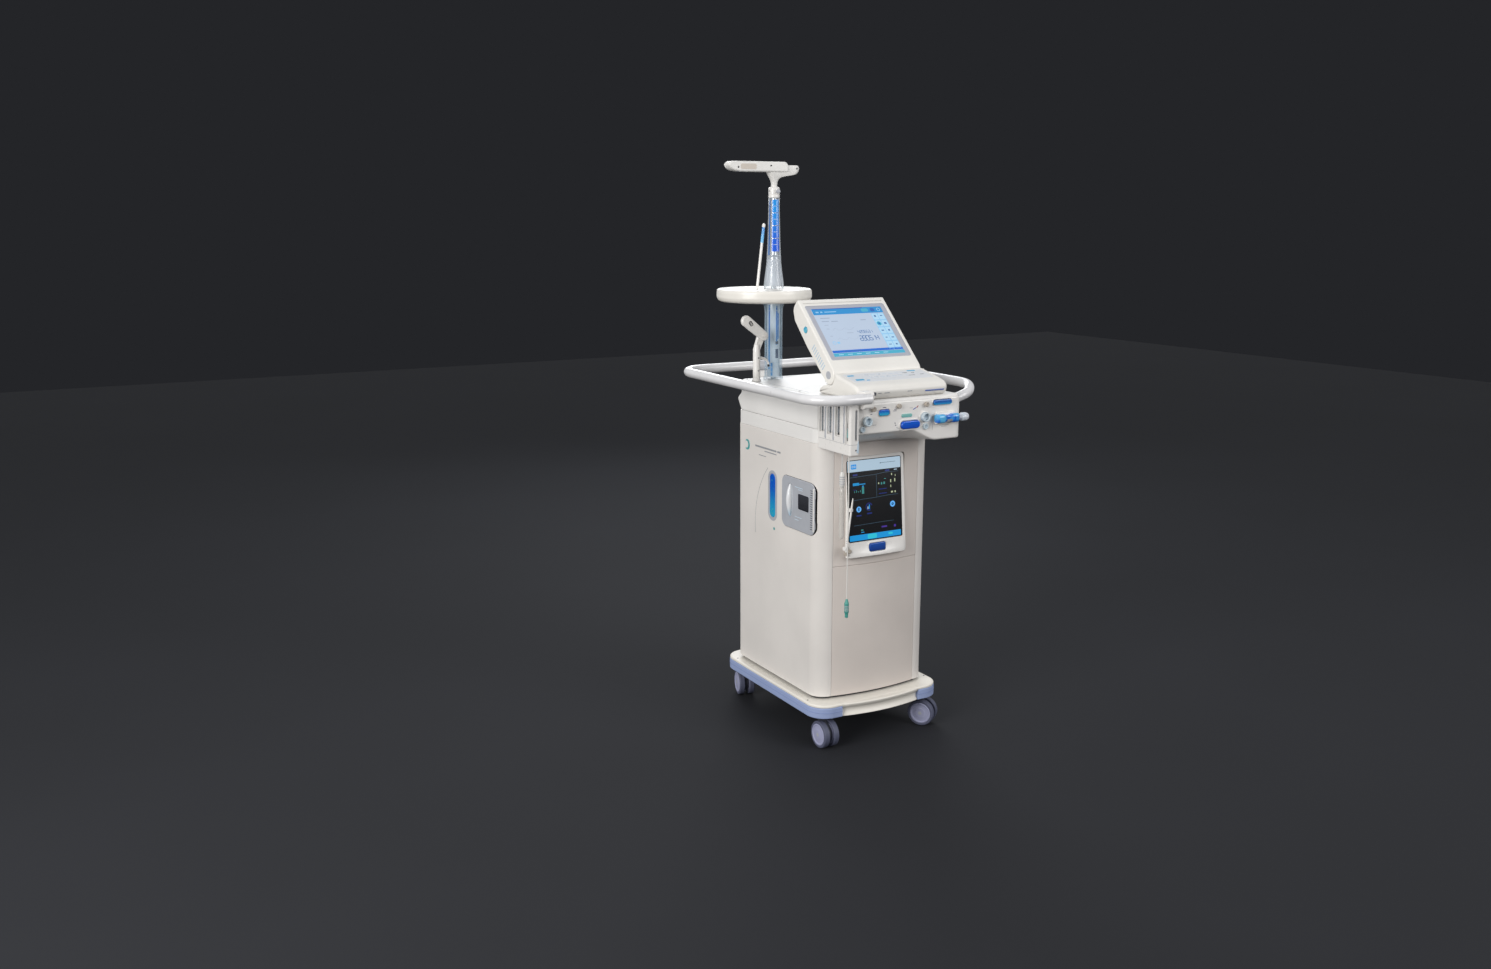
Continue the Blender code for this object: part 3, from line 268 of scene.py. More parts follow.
def skin(loops, capped=True, ringed=False):
    """A mesh through equally long loops, capped at both ends or closed into a ring."""
    mesh = bmesh.new()
    rings = [[mesh.verts.new(point) for point in loop] for loop in loops]
    pairs = list(zip(rings, rings[1:]))
    if ringed:
        pairs.append((rings[-1], rings[0]))
    for low, high in pairs:
        for i in range(len(low)):
            j = (i + 1) % len(low)
            mesh.faces.new((low[i], low[j], high[j], high[i]))
    if capped and not ringed:
        mesh.faces.new(rings[0][::-1])
        mesh.faces.new(rings[-1])
    return mesh


def rim_steps(low, high, rim, count=4):
    """(height, inset) pairs for a wall with quarter-round rims."""
    steps = []
    for i in range(count + 1):
        a = radians(90 * i / count)
        steps.append((low + rim * (1 - sin(a)), rim * (1 - cos(a))))
    steps = steps[::-1] if steps[0][0] > steps[-1][0] else steps
    return steps + [(low + high - height, inset) for height, inset in steps[::-1]]


def slab(axis, outline, low, high, rim=0.001, count=4):
    """An outline pushed along an axis, with round rims."""
    steps = rim_steps(low, high, rim, count) if rim else [(low, 0), (high, 0)]
    return skin([[place(axis, u, v, w) for u, v in offset(outline, inset)] for w, inset in steps])


def hoop(axis, outline, inner, low, high, rim=0.0006):
    """A closed band between two equally long outlines, with round edges."""
    loops = []
    for w, inset in rim_steps(low, high, rim, 3):
        loops.append([place(axis, u, v, w) for u, v in offset(outline, inset)])
    for w, inset in rim_steps(low, high, rim, 3)[::-1]:
        loops.append([place(axis, u, v, w) for u, v in offset(inner, -inset)])
    return skin(loops, ringed=True)


def drum(radius, low, high):
    """The profile of a plain round plug."""
    return [(0, low), (radius, low), (radius, high), (0, high)]


def eased(points, radius):
    """An open line with its corners rounded."""
    return softened(points, radius, closed=False)


def turned(axis, centre, profile, count=64):
    """A solid turned about an axis through centre. The profile is (radius, height) pairs."""
    open_bore = profile[0][0] > 0 and profile[-1][0] > 0
    mesh = bmesh.new()
    rings = []
    for radius, height in profile:
        ring = [place(axis, centre[0] + u, centre[1] + v, height) for u, v in circle(0, 0, radius, count)]
        rings.append([mesh.verts.new(point) for point in (ring if radius > 0 else ring[:1])])
    pairs = list(zip(rings, rings[1:]))
    if open_bore:
        pairs.append((rings[-1], rings[0]))
    for low, high in pairs:
        for i in range(count):
            j = (i + 1) % count
            corners = [low[i % len(low)], low[j % len(low)], high[j % len(high)], high[i % len(high)]]
            mesh.faces.new(dict.fromkeys(corners))
    return mesh


def wall(outer, thickness, low, high, rim=0.0012, mirror=False):
    """A panel that follows an open outline, with its outside edges eased."""
    if mirror:
        outer = [(-x, y) for x, y in outer[::-1]]
    inner = offset(outer, thickness, closed=False)
    loops = []
    for z, inset in rim_steps(low, high, rim):
        face = offset(outer, inset, closed=False)
        loops.append([(x, y, z) for x, y in face + inner[::-1]])
    return skin(loops)


def rod(points, radius, count=32, dome=False):
    """A round bar along points, flat or domed at its ends. The radius may be a list."""
    route = [Vector(p) for p in points]
    radii = radius if isinstance(radius, list) else [radius] * len(route)
    if dome:
        head, tail = (route[0] - route[1]).normalized(), (route[-1] - route[-2]).normalized()
        turns = [radians(a) for a in (78, 56, 34, 14)]
        first = [(route[0] + head * radii[0] * sin(a), radii[0] * cos(a)) for a in turns]
        last = [(route[-1] + tail * radii[-1] * sin(a), radii[-1] * cos(a)) for a in turns[::-1]]
        radii = [r for _, r in first] + radii + [r for _, r in last]
        route = [p for p, _ in first] + route + [p for p, _ in last]
    loops = []
    side = None
    for i, point in enumerate(route):
        way = (route[min(i + 1, len(route) - 1)] - route[max(i - 1, 0)]).normalized()
        if side is None:
            side = way.orthogonal().normalized()
        side = (side - way * side.dot(way)).normalized()
        up = way.cross(side)
        loops.append([tuple(point + side * (radii[i] * cos(a)) + up * (radii[i] * sin(a)))
            for a in (2 * pi * k / count for k in range(count))])
    return skin(loops)


def smooth_route(points, step):
    """Points every step along a smooth curve through a route's own points."""
    route = [Vector(p) for p in points]
    ends = [2 * route[0] - route[1]] + route + [2 * route[-1] - route[-2]]
    found = []
    for a, b, c, d in zip(ends, ends[1:], ends[2:], ends[3:]):
        count = max(1, round((c - b).length / step))
        for i in range(count):
            t = i / count
            found.append(0.5 * (2 * b + (c - a) * t + (2 * a - 5 * b + 4 * c - d) * t * t +
                (3 * b - a - 3 * c + d) * t ** 3))
    return found + [route[-1]]


def smoothstep(low, high, x):
    t = min(1.0, max(0.0, (x - low) / (high - low)))
    return t * t * (3 - 2 * t)


def together(*meshes):
    """Several closed meshes in one."""
    whole = bmesh.new()
    for mesh in meshes:
        data = bpy.data.meshes.new("gathered")
        mesh.to_mesh(data)
        mesh.free()
        whole.from_mesh(data)
        bpy.data.meshes.remove(data)
    return whole


def outward(mesh):
    bmesh.ops.recalc_face_normals(mesh, faces=mesh.faces)
    if mesh.calc_volume(signed=True) < 0:
        bmesh.ops.reverse_faces(mesh, faces=mesh.faces)
    return mesh


def bench_object(mesh):
    """A passing object to work on."""
    data = bpy.data.meshes.new("bench")
    outward(mesh).to_mesh(data)
    mesh.free()
    obj = bpy.data.objects.new("bench", data)
    bpy.context.collection.objects.link(obj)
    return obj


def carved(mesh, *others, operation="DIFFERENCE"):
    """The mesh less each of the others, or joined with them."""
    target = bench_object(mesh)
    tools = [bench_object(other) for other in others]
    for tool in tools:
        step = target.modifiers.new("carve", "BOOLEAN")
        step.operation = operation
        step.object = tool
        step.solver = "EXACT"
    evaluated = target.evaluated_get(bpy.context.evaluated_depsgraph_get())
    result = bmesh.new()
    result.from_mesh(evaluated.to_mesh())
    evaluated.to_mesh_clear()
    for obj in [target] + tools:
        data = obj.data
        bpy.data.objects.remove(obj)
        bpy.data.meshes.remove(data)
    bmesh.ops.dissolve_degenerate(result, dist=2e-5, edges=result.edges)
    return result


def fused(mesh, *others):
    return carved(mesh, *others, operation="UNION")


def piece(name, mesh, finish, stands_for=(), body="cabinet", crease=34, at=None):
    """A finished piece, of one mesh or a list, on the body it rides on."""
    if isinstance(mesh, list):
        mesh = together(*mesh)
    outward(mesh)
    if at:
        bmesh.ops.transform(mesh, matrix=at, verts=mesh.verts)
    bmesh.ops.translate(mesh, verts=mesh.verts, vec=(0, MIDDLE_Y, 0))
    data = bpy.data.meshes.new(name)
    mesh.to_mesh(data)
    mesh.free()
    data.shade_smooth()
    data.set_sharp_from_angle(angle=radians(crease))
    obj = bpy.data.objects.new(name, data)
    bpy.context.collection.objects.link(obj)
    data.materials.append(finish)
    weighted = obj.modifiers.new("weighted", "WEIGHTED_NORMAL")
    weighted.keep_sharp = True
    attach(obj, body)
    if stands_for:
        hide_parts(*([stands_for] if isinstance(stands_for, str) else stands_for))
    return obj


# ---- finishes ----
def tint(red, green, blue):
    """A colour given as screen values from 0 to 255, in linear light."""
    parts = [value / 255 for value in (red, green, blue)]
    linear = [p / 12.92 if p <= 0.04045 else ((p + 0.055) / 1.055) ** 2.4 for p in parts]
    return (*linear, 1.0)


def dimmed(colour, share):
    return tuple(min(1.0, part * share) for part in colour[:3]) + (1.0,)


class Value:
    """A socket in shader arithmetic."""

    def __init__(self, surface, socket):
        self.surface = surface
        self.socket = socket

    def maths(self, operation, *values):
        return self.surface.node("ShaderNodeMath", {"operation": operation}, dict(enumerate(values)))

    def __add__(self, other):
        return self.maths("ADD", self, other)

    def __radd__(self, other):
        return self.maths("ADD", other, self)

    def __sub__(self, other):
        return self.maths("SUBTRACT", self, other)

    def __rsub__(self, other):
        return self.maths("SUBTRACT", other, self)

    def __mul__(self, other):
        return self.maths("MULTIPLY", self, other)

    def __rmul__(self, other):
        return self.maths("MULTIPLY", other, self)

    def clamped(self, low, high):
        """0 at low and below, 1 at high and above."""
        return self.surface.node("ShaderNodeMapRange", {"clamp": True, "interpolation_type": "SMOOTHSTEP"},
            {"Value": self, "From Min": low, "From Max": high})


class Surface:
    """A material under construction."""

    def __init__(self, name):
        self.material = bpy.data.materials.new(name)
        self.material.use_nodes = True
        self.tree = self.material.node_tree
        self.tree.nodes.clear()

    def node(self, kind, settings=None, inputs=None, output=0):
        made = self.tree.nodes.new(kind)
        for key, value in (settings or {}).items():
            if key == "stops":
                ramp = made.color_ramp
                while len(ramp.elements) < len(value):
                    ramp.elements.new(0.5)
                for element, (position, colour) in zip(ramp.elements, value):
                    element.position = position
                    element.color = colour
            else:
                setattr(made, key, value)
        for key, value in (inputs or {}).items():
            if isinstance(value, Value):
                self.tree.links.new(value.socket, made.inputs[key])
            else:
                made.inputs[key].default_value = value
        return None if output is None else Value(self, made.outputs[output])

    def position(self):
        return self.node("ShaderNodeTexCoord", output="Object")

    def noise(self, scale, detail=2.0, roughness=0.5, stretch=None):
        at = self.position()
        if stretch:
            at = self.node("ShaderNodeMapping", None, {"Vector": at, "Scale": stretch})
        return self.node("ShaderNodeTexNoise", None, {"Vector": at, "Scale": scale, "Detail": detail,
            "Roughness": roughness}, "Fac")

    def edges(self):
        """1 on outer edges, 0 elsewhere."""
        return self.node("ShaderNodeNewGeometry", output="Pointiness").clamped(0.53, 0.62)

    def creases(self):
        """1 in inner corners, 0 elsewhere."""
        return 1 - self.node("ShaderNodeNewGeometry", output="Pointiness").clamped(0.4, 0.48)

    def mix(self, share, first, second, blend="MIX"):
        return self.node("ShaderNodeMix", {"data_type": "RGBA", "blend_type": blend},
            {0: share, 6: first, 7: second}, 2)

    def bump(self, height, strength, distance):
        return self.node("ShaderNodeBump", None, {"Strength": strength, "Distance": distance,
            "Height": height}, "Normal")

    def finish(self, **inputs):
        """Closes the material with a Principled shader."""
        named = {key.replace("_", " ").title().replace("Ior", "IOR"): value for key, value in inputs.items()}
        shader = self.node("ShaderNodeBsdfPrincipled", None, named)
        self.node("ShaderNodeOutputMaterial", None, {"Surface": shader}, None)
        return self.material


def moulded(name, colour, roughness=0.42, grain=0.06, coat=0.0, crease_shade=0.1, edge_lightening=0.25):
    """Plastic with an eroded grain, slow tone drift, lighter outer edges and painted shade in its corners.
    """
    surface = Surface(name)
    drift = surface.noise(5.0, 3.0, 0.55)
    mottle = surface.noise(70.0, 4.0, 0.6)
    speck = surface.noise(1400.0, 2.0, 0.6)
    tone = surface.mix(drift.clamped(0.3, 0.72), dimmed(colour, 0.955), dimmed(colour, 1.03))
    tone = surface.mix(mottle * 0.1, tone, dimmed(colour, 0.8))
    # painted shade: darker in inner corners and creases
    tone = surface.mix(surface.creases() * crease_shade * 4, tone, dimmed(colour, 0.45))
    # lighter on outer edges
    tone = surface.mix(surface.edges() * edge_lightening, tone, dimmed(colour, 1.16))
    gloss = roughness + (mottle - 0.5) * 0.16 + (drift - 0.5) * 0.1 - surface.edges() * 0.08
    texture = speck * 0.6 + surface.noise(420.0, 2.0, 0.5) * 0.4
    return surface.finish(base_color=tone, roughness=gloss, coat_weight=coat, coat_roughness=0.12,
        normal=surface.bump(texture, grain, 0.0004))


def rubber(name, colour, roughness=0.62):
    """Soft bumper or tread: matt, scuffed lighter, with painted highlights on its edges and painted shade in
    its creases.
    """
    surface = Surface(name)
    scuff = surface.noise(38.0, 5.0, 0.7, (1.0, 1.0, 3.0)).clamped(0.56, 0.74)
    drift = surface.noise(7.0, 3.0)
    tone = surface.mix(drift, dimmed(colour, 0.9), dimmed(colour, 1.08))
    tone = surface.mix(scuff * 0.28, tone, dimmed(colour, 1.45))
    # painted highlight: lighter on outer edges
    tone = surface.mix(surface.edges() * 0.3, tone, dimmed(colour, 1.3))
    # painted shade: darker in creases
    tone = surface.mix(surface.creases() * 0.35, tone, dimmed(colour, 0.5))
    return surface.finish(base_color=tone, roughness=roughness + scuff * 0.12,
        normal=surface.bump(surface.noise(900.0, 3.0, 0.7), 0.12, 0.0004))


def glossy_key(name, top, low, bottom_z, top_z, roughness=0.16):
    """A translucent-looking glossy key whose colour runs from top to low, with painted highlights on its
    edges.
    """
    surface = Surface(name)
    height = surface.node("ShaderNodeSeparateXYZ", None, {0: surface.position()}, "Z")
    fade = height.clamped(bottom_z, top_z)
    cloud = surface.noise(160.0, 3.0, 0.6)
    tone = surface.mix(fade, low, top)
    tone = surface.mix(cloud.clamped(0.45, 0.8) * 0.18, tone, dimmed(low, 1.35))
    # painted highlight: lighter towards the outer edges
    tone = surface.mix(surface.edges() * 0.35, tone, dimmed(low, 1.6))
    smear = surface.noise(45.0, 4.0, 0.65)
    return surface.finish(base_color=tone, roughness=roughness + smear * 0.14, coat_weight=0.5 + smear * 0.2,
        coat_roughness=0.06, normal=surface.bump(surface.noise(700.0), 0.03, 0.0004))


def metal(name, colour, roughness=0.3, brushed=(1.0, 1.0, 30.0)):
    """Brushed or plated metal, with painted shade in its creases."""
    surface = Surface(name)
    lines = surface.noise(60.0, 3.0, 0.6, brushed)
    cloud = surface.noise(9.0, 3.0)
    tone = surface.mix(cloud, dimmed(colour, 0.86), dimmed(colour, 1.05))
    # painted shade: darker in creases
    tone = surface.mix(surface.creases() * 0.4, tone, dimmed(colour, 0.4))
    return surface.finish(base_color=tone, metallic=1.0, roughness=roughness + (lines - 0.5) * 0.25,
        normal=surface.bump(lines, 0.05, 0.0004))


def clear(name, colour, body=0.25, rim=0.75, roughness=0.08):
    """Clear moulding: see-through across, denser where the wall is seen along its length."""
    surface = Surface(name)
    grazing = surface.node("ShaderNodeLayerWeight", None, {"Blend": 0.35}, "Facing")
    haze = surface.noise(24.0, 4.0, 0.6)
    tone = surface.mix(haze, dimmed(colour, 0.92), dimmed(colour, 1.06))
    density = body + grazing.clamped(0.15, 0.85) * (rim - body) + (haze - 0.5) * 0.08
    return surface.finish(base_color=tone, alpha=density, roughness=roughness + haze * 0.08, coat_weight=0.6,
        coat_roughness=0.04, normal=surface.bump(surface.noise(300.0), 0.02, 0.0004))


def painted_rail(name):
    """Thick glossy powder coat, with faint orange peel and hand-rubbed patches."""
    surface = Surface(name)
    colour = tint(219, 218, 219)
    rubbed = surface.noise(14.0, 4.0, 0.6)
    tone = surface.mix(rubbed.clamped(0.35, 0.7), dimmed(colour, 0.96), dimmed(colour, 1.03))
    tone = surface.mix(surface.noise(240.0, 3.0).clamped(0.66, 0.8) * 0.18, tone, dimmed(colour, 0.7))
    peel = surface.noise(520.0, 2.0, 0.4)
    return surface.finish(base_color=tone, roughness=0.22 + rubbed * 0.14, coat_weight=0.7,
        coat_roughness=0.05, normal=surface.bump(peel, 0.05, 0.0004))


def lit(name, colour, strength=0.9, coat=1.0):
    """A patch of a lit screen: a fine raster and an uneven backlight."""
    surface = Surface(name)
    glow = surface.noise(6.0, 2.0)
    raster = surface.noise(2600.0, 1.0)
    tone = surface.mix(glow * 0.5 + raster * 0.3, dimmed(colour, 0.86), dimmed(colour, 1.08))
    return surface.finish(base_color=dimmed(colour, 0.25), emission_color=tone, emission_strength=strength,
        roughness=0.22 + glow * 0.06, coat_weight=coat, coat_roughness=0.03)


def printed(name, colour, roughness=0.4):
    """Printed or laid-in mark: thin ink with slightly uneven cover."""
    surface = Surface(name)
    cover = surface.noise(500.0, 3.0, 0.7)
    tone = surface.mix(cover * 0.35, colour, dimmed(colour, 0.8))
    return surface.finish(base_color=tone, roughness=roughness + cover * 0.1)


WHITE_SHELL = moulded("white_shell", tint(228, 226, 223), 0.4, 0.06)
WHITE_SMOOTH = moulded("white_smooth", tint(233, 230, 226), 0.3, 0.03, coat=0.2)
SIDE_SHELL = moulded("side_shell", tint(221, 216, 211), 0.42, 0.07)
# front panels: a darker, beige copy of the cabinet's white, as painted shade
SHADED_FRONT_PANEL = moulded("beige_panel", tint(212, 203, 196), 0.46, 0.08)
CREAM_BASE = moulded("cream_base", tint(231, 226, 216), 0.36, 0.05)
CONSOLE_SHELL = moulded("console_shell", tint(229, 226, 220), 0.4, 0.06)
GREY_TRIM = moulded("grey_trim", tint(172, 174, 180), 0.42, 0.06)
BEIGE_TRIM = moulded("beige_trim", tint(176, 166, 154), 0.5, 0.08)
PORT_PLASTIC = moulded("port_plastic", tint(190, 203, 210), 0.34, 0.04, coat=0.15)
DISC_LAVENDER = moulded("castor_disc", tint(160, 162, 190), 0.44, 0.08, crease_shade=0.2)
BUMPER_BLUE = rubber("bumper_blue", tint(146, 161, 199))
TREAD_DARK = rubber("tread_dark", tint(82, 85, 106), 0.6)
YOKE_DARK = moulded("yoke_dark", tint(66, 67, 78), 0.5, 0.1)
JOINT_DARK = moulded("joint_dark", tint(42, 42, 46), 0.6, 0.08)
# near-black for the insides of slots, gaps and openings: painted shade
SLOT_SHADE = moulded("slot_shade", tint(30, 31, 36), 0.7, 0.05)
STEEL = metal("frame_steel", tint(188, 190, 194), 0.34)
SCREW_STEEL = metal("screw_steel", tint(150, 151, 156), 0.28, (30.0, 1.0, 1.0))
ALUMINIUM = metal("cast_aluminium", tint(176, 178, 182), 0.42, (1.0, 1.0, 1.0))
RAIL_PAINT = painted_rail("rail_paint")
CLEAR_BLUE = clear("clear_blue", tint(198, 228, 247), 0.1, 0.46)
CLEAR_WHITE = clear("clear_white", tint(224, 232, 240), 0.16, 0.66)
SMOKED = clear("smoked_cover", tint(186, 189, 196), 0.84, 0.94, 0.14)
TEAL_MARK = printed("teal_mark", tint(64, 158, 158))
GREY_MARK = printed("grey_mark", tint(148, 150, 154))
BLUE_MARK = printed("blue_mark", tint(24, 72, 168))
NAVY_MARK = printed("navy_mark", tint(28, 36, 82))
RED_MARK = printed("red_mark", tint(158, 34, 44))
PALE_MARK = printed("pale_mark", tint(190, 207, 220))
CYAN_MARK = printed("cyan_mark", tint(52, 164, 208))


# ---- hanging leads ----
def lead(name, route, radius, finish):
    """A free cord as a curve through every point of its route."""
    data = bpy.data.curves.new(name, "CURVE")
    data.dimensions = "3D"
    spline = data.splines.new("POLY")
    spline.points.add(len(route) - 1)
    for point, at in zip(spline.points, route):
        point.co = (at.x, at.y + MIDDLE_Y, at.z, 1)
    data.bevel_depth = radius
    data.bevel_resolution = 6
    data.use_fill_caps = True
    obj = bpy.data.objects.new(name, data)
    bpy.context.collection.objects.link(obj)
    data.materials.append(finish)
    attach(obj, "cabinet")
    return obj


def length_of(route):
    return sum((b - a).length for a, b in zip(route, route[1:]))


def make_leads():
    """The drain line with its clear trap, and the thin sensor lead with its plug."""
    top = MODULE_BOTTOM - 0.0003
    x, y = -0.164, -0.3
    route = smooth_route([(x, y, top), (x, y, top - 0.022), (x, y, top - 0.05)], 0.006)
    line = lead("drain_line", route, 0.0022, clear("drain_tubing", tint(214, 214, 212), 0.55, 0.9, 0.2))
    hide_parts("drain_cord")
    end = top - 0.0503
    head = eased([(0, end), (0.004, end), (0.005, end - 0.004), (0.0072, end - 0.01), (0.0072, end - 0.034),
        (0.0058, end - 0.04), (0, end - 0.04)], 0.0012)
    cup = eased([(0, end - 0.0402), (0.0056, end - 0.0402), (0.0062, end - 0.046), (0.0068, end - 0.05),
        (0.0068, end - 0.168), (0.0052, end - 0.176), (0, end - 0.179)], 0.0012)
    fitting = piece("drain_fitting", turned("Z", (x, y), head, 40), moulded("fitting_white",
        tint(216, 214, 210), 0.36, 0.04, coat=0.2))
    bands = [turned("Z", (x, y), [(0, z), (0.0074, z), (0.0076, z - 0.001), (0.0074, z - 0.002),
        (0, z - 0.002)], 40) for z in (end - 0.012, end - 0.018, end - 0.024, end - 0.03)]
    grips = piece("drain_fitting_grips", bands, GREY_TRIM)
    piece("drain_cup", turned("Z", (x, y), cup, 40), clear("trap_clear", tint(216, 212, 206), 0.62, 0.92),
        "sample_tube")
    length_of(route)
    x, y = -0.1585, -0.322
    end = 0.4425
    route = smooth_route([(x, y, top), (x, y, top - 0.06), (x + 0.0008, y, 0.7), (x + 0.0004, y, 0.6),
        (x, y, 0.5), (x, y, end)], 0.0095)
    wire = lead("sensor_wire", route, 0.0016, moulded("lead_white", tint(214, 211, 206), 0.45, 0.05))
    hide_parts("sensor_lead")
    profile = eased([(0, end - 0.0003), (0.0028, end - 0.0003), (0.004, end - 0.006), (0.0062, end - 0.012),
        (0.0062, end - 0.036), (0.0045, end - 0.04), (0.0045, end - 0.05), (0, end - 0.052)], 0.001)
    plug = piece("sensor_plug", turned("Z", (x, y), profile, 40), moulded("plug_green", tint(70, 150, 140),
        0.35, 0.05, coat=0.2), "lead_plug")
    ribs = [turned("Z", (x, y), [(0, z), (0.0063, z), (0.0066, z - 0.0008), (0.0063, z - 0.0016),
        (0, z - 0.0016)], 40) for z in (end - 0.018, end - 0.022, end - 0.026, end - 0.03)]
    ring = piece("sensor_plug_ribs", ribs, GREY_TRIM)
    length_of(route)


# ---- trolley ----
def bow(x, half, depth):
    return depth * (1 - (x / half) ** 2)


def base_outline():
    return rounded(0, 0, 2 * BASE_HALF_W, 2 * BASE_HALF_D, BASE_CORNER, 16)


def side_edge():
    """The right side of the plan, from the front seam round to the rear seam."""
    points = arc(HALF_W - CABINET_CORNER, -HALF_D + CABINET_CORNER, CABINET_CORNER, -90, 0, 24)
    rear = CABINET_REAR_CORNER
    return points + arc(HALF_W - rear, HALF_D - rear, rear, 0, 90, 12)


def front_edge():
    """The bowed front of the plan, from left to right."""
    xs = [-FRONT_HALF + 2 * FRONT_HALF * i / 40 for i in range(41)]
    return [(x, -HALF_D - bow(x, FRONT_HALF, CABINET_BOW)) for x in xs]


def cabinet_outline(inset=0.0):
    right = side_edge()
    left = [(-x, y) for x, y in right[::-1]]
    return offset(front_edge()[1:-1] + right + left, inset)


def valance(side):
    """The moulding between two bumpers, bowed outwards and hollowed under its top edge."""
    half = BASE_HALF_W - BUMPER_WRAP - SEAM
    section = softened([(-0.035, BASE_TOP - 0.001), (-0.002, BASE_TOP - 0.001), (0.0, BASE_TOP - 0.004),
        (-0.002, BASE_TOP - 0.01), (-0.0085, BASE_TOP - 0.016), (-0.01, BASE_TOP - 0.024),
        (-0.007, BASE_BOTTOM + 0.006), (-0.0035, BASE_BOTTOM), (-0.035, BASE_BOTTOM)], 0.004)
    loops = []
    for i in range(33):
        x = -half + 2 * half * i / 32
        ease = 0.0015 * (1 - smoothstep(0, 0.003, half - abs(x)))
        reach = BASE_HALF_D + bow(x, half, VALANCE_BOW) - ease
        loops.append([(x, side * (reach + d), z) for d, z in section])
    return skin(loops)


def screw(axis, u, v, face, out, radius=0.0028):
    """A pan-head screw with a cross slot, its head standing out of a face."""
    head = 0.0009 * out
    profile = [(0, face - head), (radius, face - head), (radius, face + head * 0.3),
        (radius * 0.8, face + head * 0.8), (radius * 0.4, face + head), (0, face + head)]
    mesh = turned(axis, (u, v), profile, 28)
    slots = []
    for wide, tall in ((radius * 1.2, radius * 0.26), (radius * 0.26, radius * 1.2)):
        outline = rounded(u, v, wide, tall, radius * 0.1, 2)
        low, high = sorted((face + head * 0.35, face + head * 2))
        slots.append(slab(axis, outline, low, high, 0))
    return carved(mesh, *slots)


def make_base():
    lip = offset(base_outline(), 0.001)
    low = BASE_TOP - BASE_LIP
    steps = [(low, 0.0015), (low + 0.0004, 0.0005), (low + 0.001, 0.0), (BASE_TOP - 0.003, 0.0)]
    steps += [(BASE_TOP - 0.003 + 0.003 * sin(radians(a)), 0.006 * (1 - cos(radians(a))))
        for a in (20, 40, 60, 75, 90)]
    lid = skin([[(x, y, z) for x, y in offset(lip, inset)] for z, inset in steps])
    groove = rounded(-BASE_HALF_W + 0.021, -0.01, 0.0016, 0.3, 0.0007, 3)
    lid = carved(lid, slab("Z", groove, BASE_TOP - 0.0012, BASE_TOP + 0.004, 0),
        slab("Z", [(-x, y) for x, y in groove[::-1]], BASE_TOP - 0.0012, BASE_TOP + 0.004, 0))
    piece("base_lid", lid, CREAM_BASE, "base_cover")
    core = offset(base_outline(), BUMPER_WALL + 0.0003)
    piece("base_core", slab("Z", core, BASE_BOTTOM + 0.0095, BASE_TOP - 0.006, 0.001), JOINT_DARK)
    piece("front_valance", valance(-1), CREAM_BASE)
    piece("rear_valance", valance(1), CREAM_BASE)
    # the plinth is dark to stand for the shadowed gap under the cabinet: painted shade
    piece("plinth", slab("Z", cabinet_outline(PLINTH_INSET), BASE_TOP - 0.002, CABINET_BOTTOM - 0.0002,
        0.0008), JOINT_DARK)
    x, y = BASE_HALF_W - BASE_CORNER, BASE_HALF_D - BASE_CORNER
    wrap = BASE_HALF_W - BUMPER_WRAP
    outer = [(wrap, -BASE_HALF_D)] + arc(x, -y, BASE_CORNER, -90, 0, 20)
    outer += arc(x, y, BASE_CORNER, 0, 90, 20) + [(wrap, BASE_HALF_D)]
    for name, mirror in (("bumper_left", True), ("bumper_right", False)):
        band = wall(outer, BUMPER_WALL, BASE_BOTTOM + 0.0005, low - 0.0003, 0.003, mirror)
        piece(name + "_band", band, BUMPER_BLUE, name)
        rib = wall(offset(outer, -0.0006, closed=False), 0.0016, RIB_LOW, RIB_HIGH, 0.0007, mirror)
        piece(name + "_rib", rib, rubber(name + "_rib", tint(126, 141, 184)))
    screws = [screw("Z", sx * 0.196, sy * 0.196, BASE_TOP, 1) for sx in (-1, 1) for sy in (-1, 1)]
    piece("base_screws", screws, SCREW_STEEL)


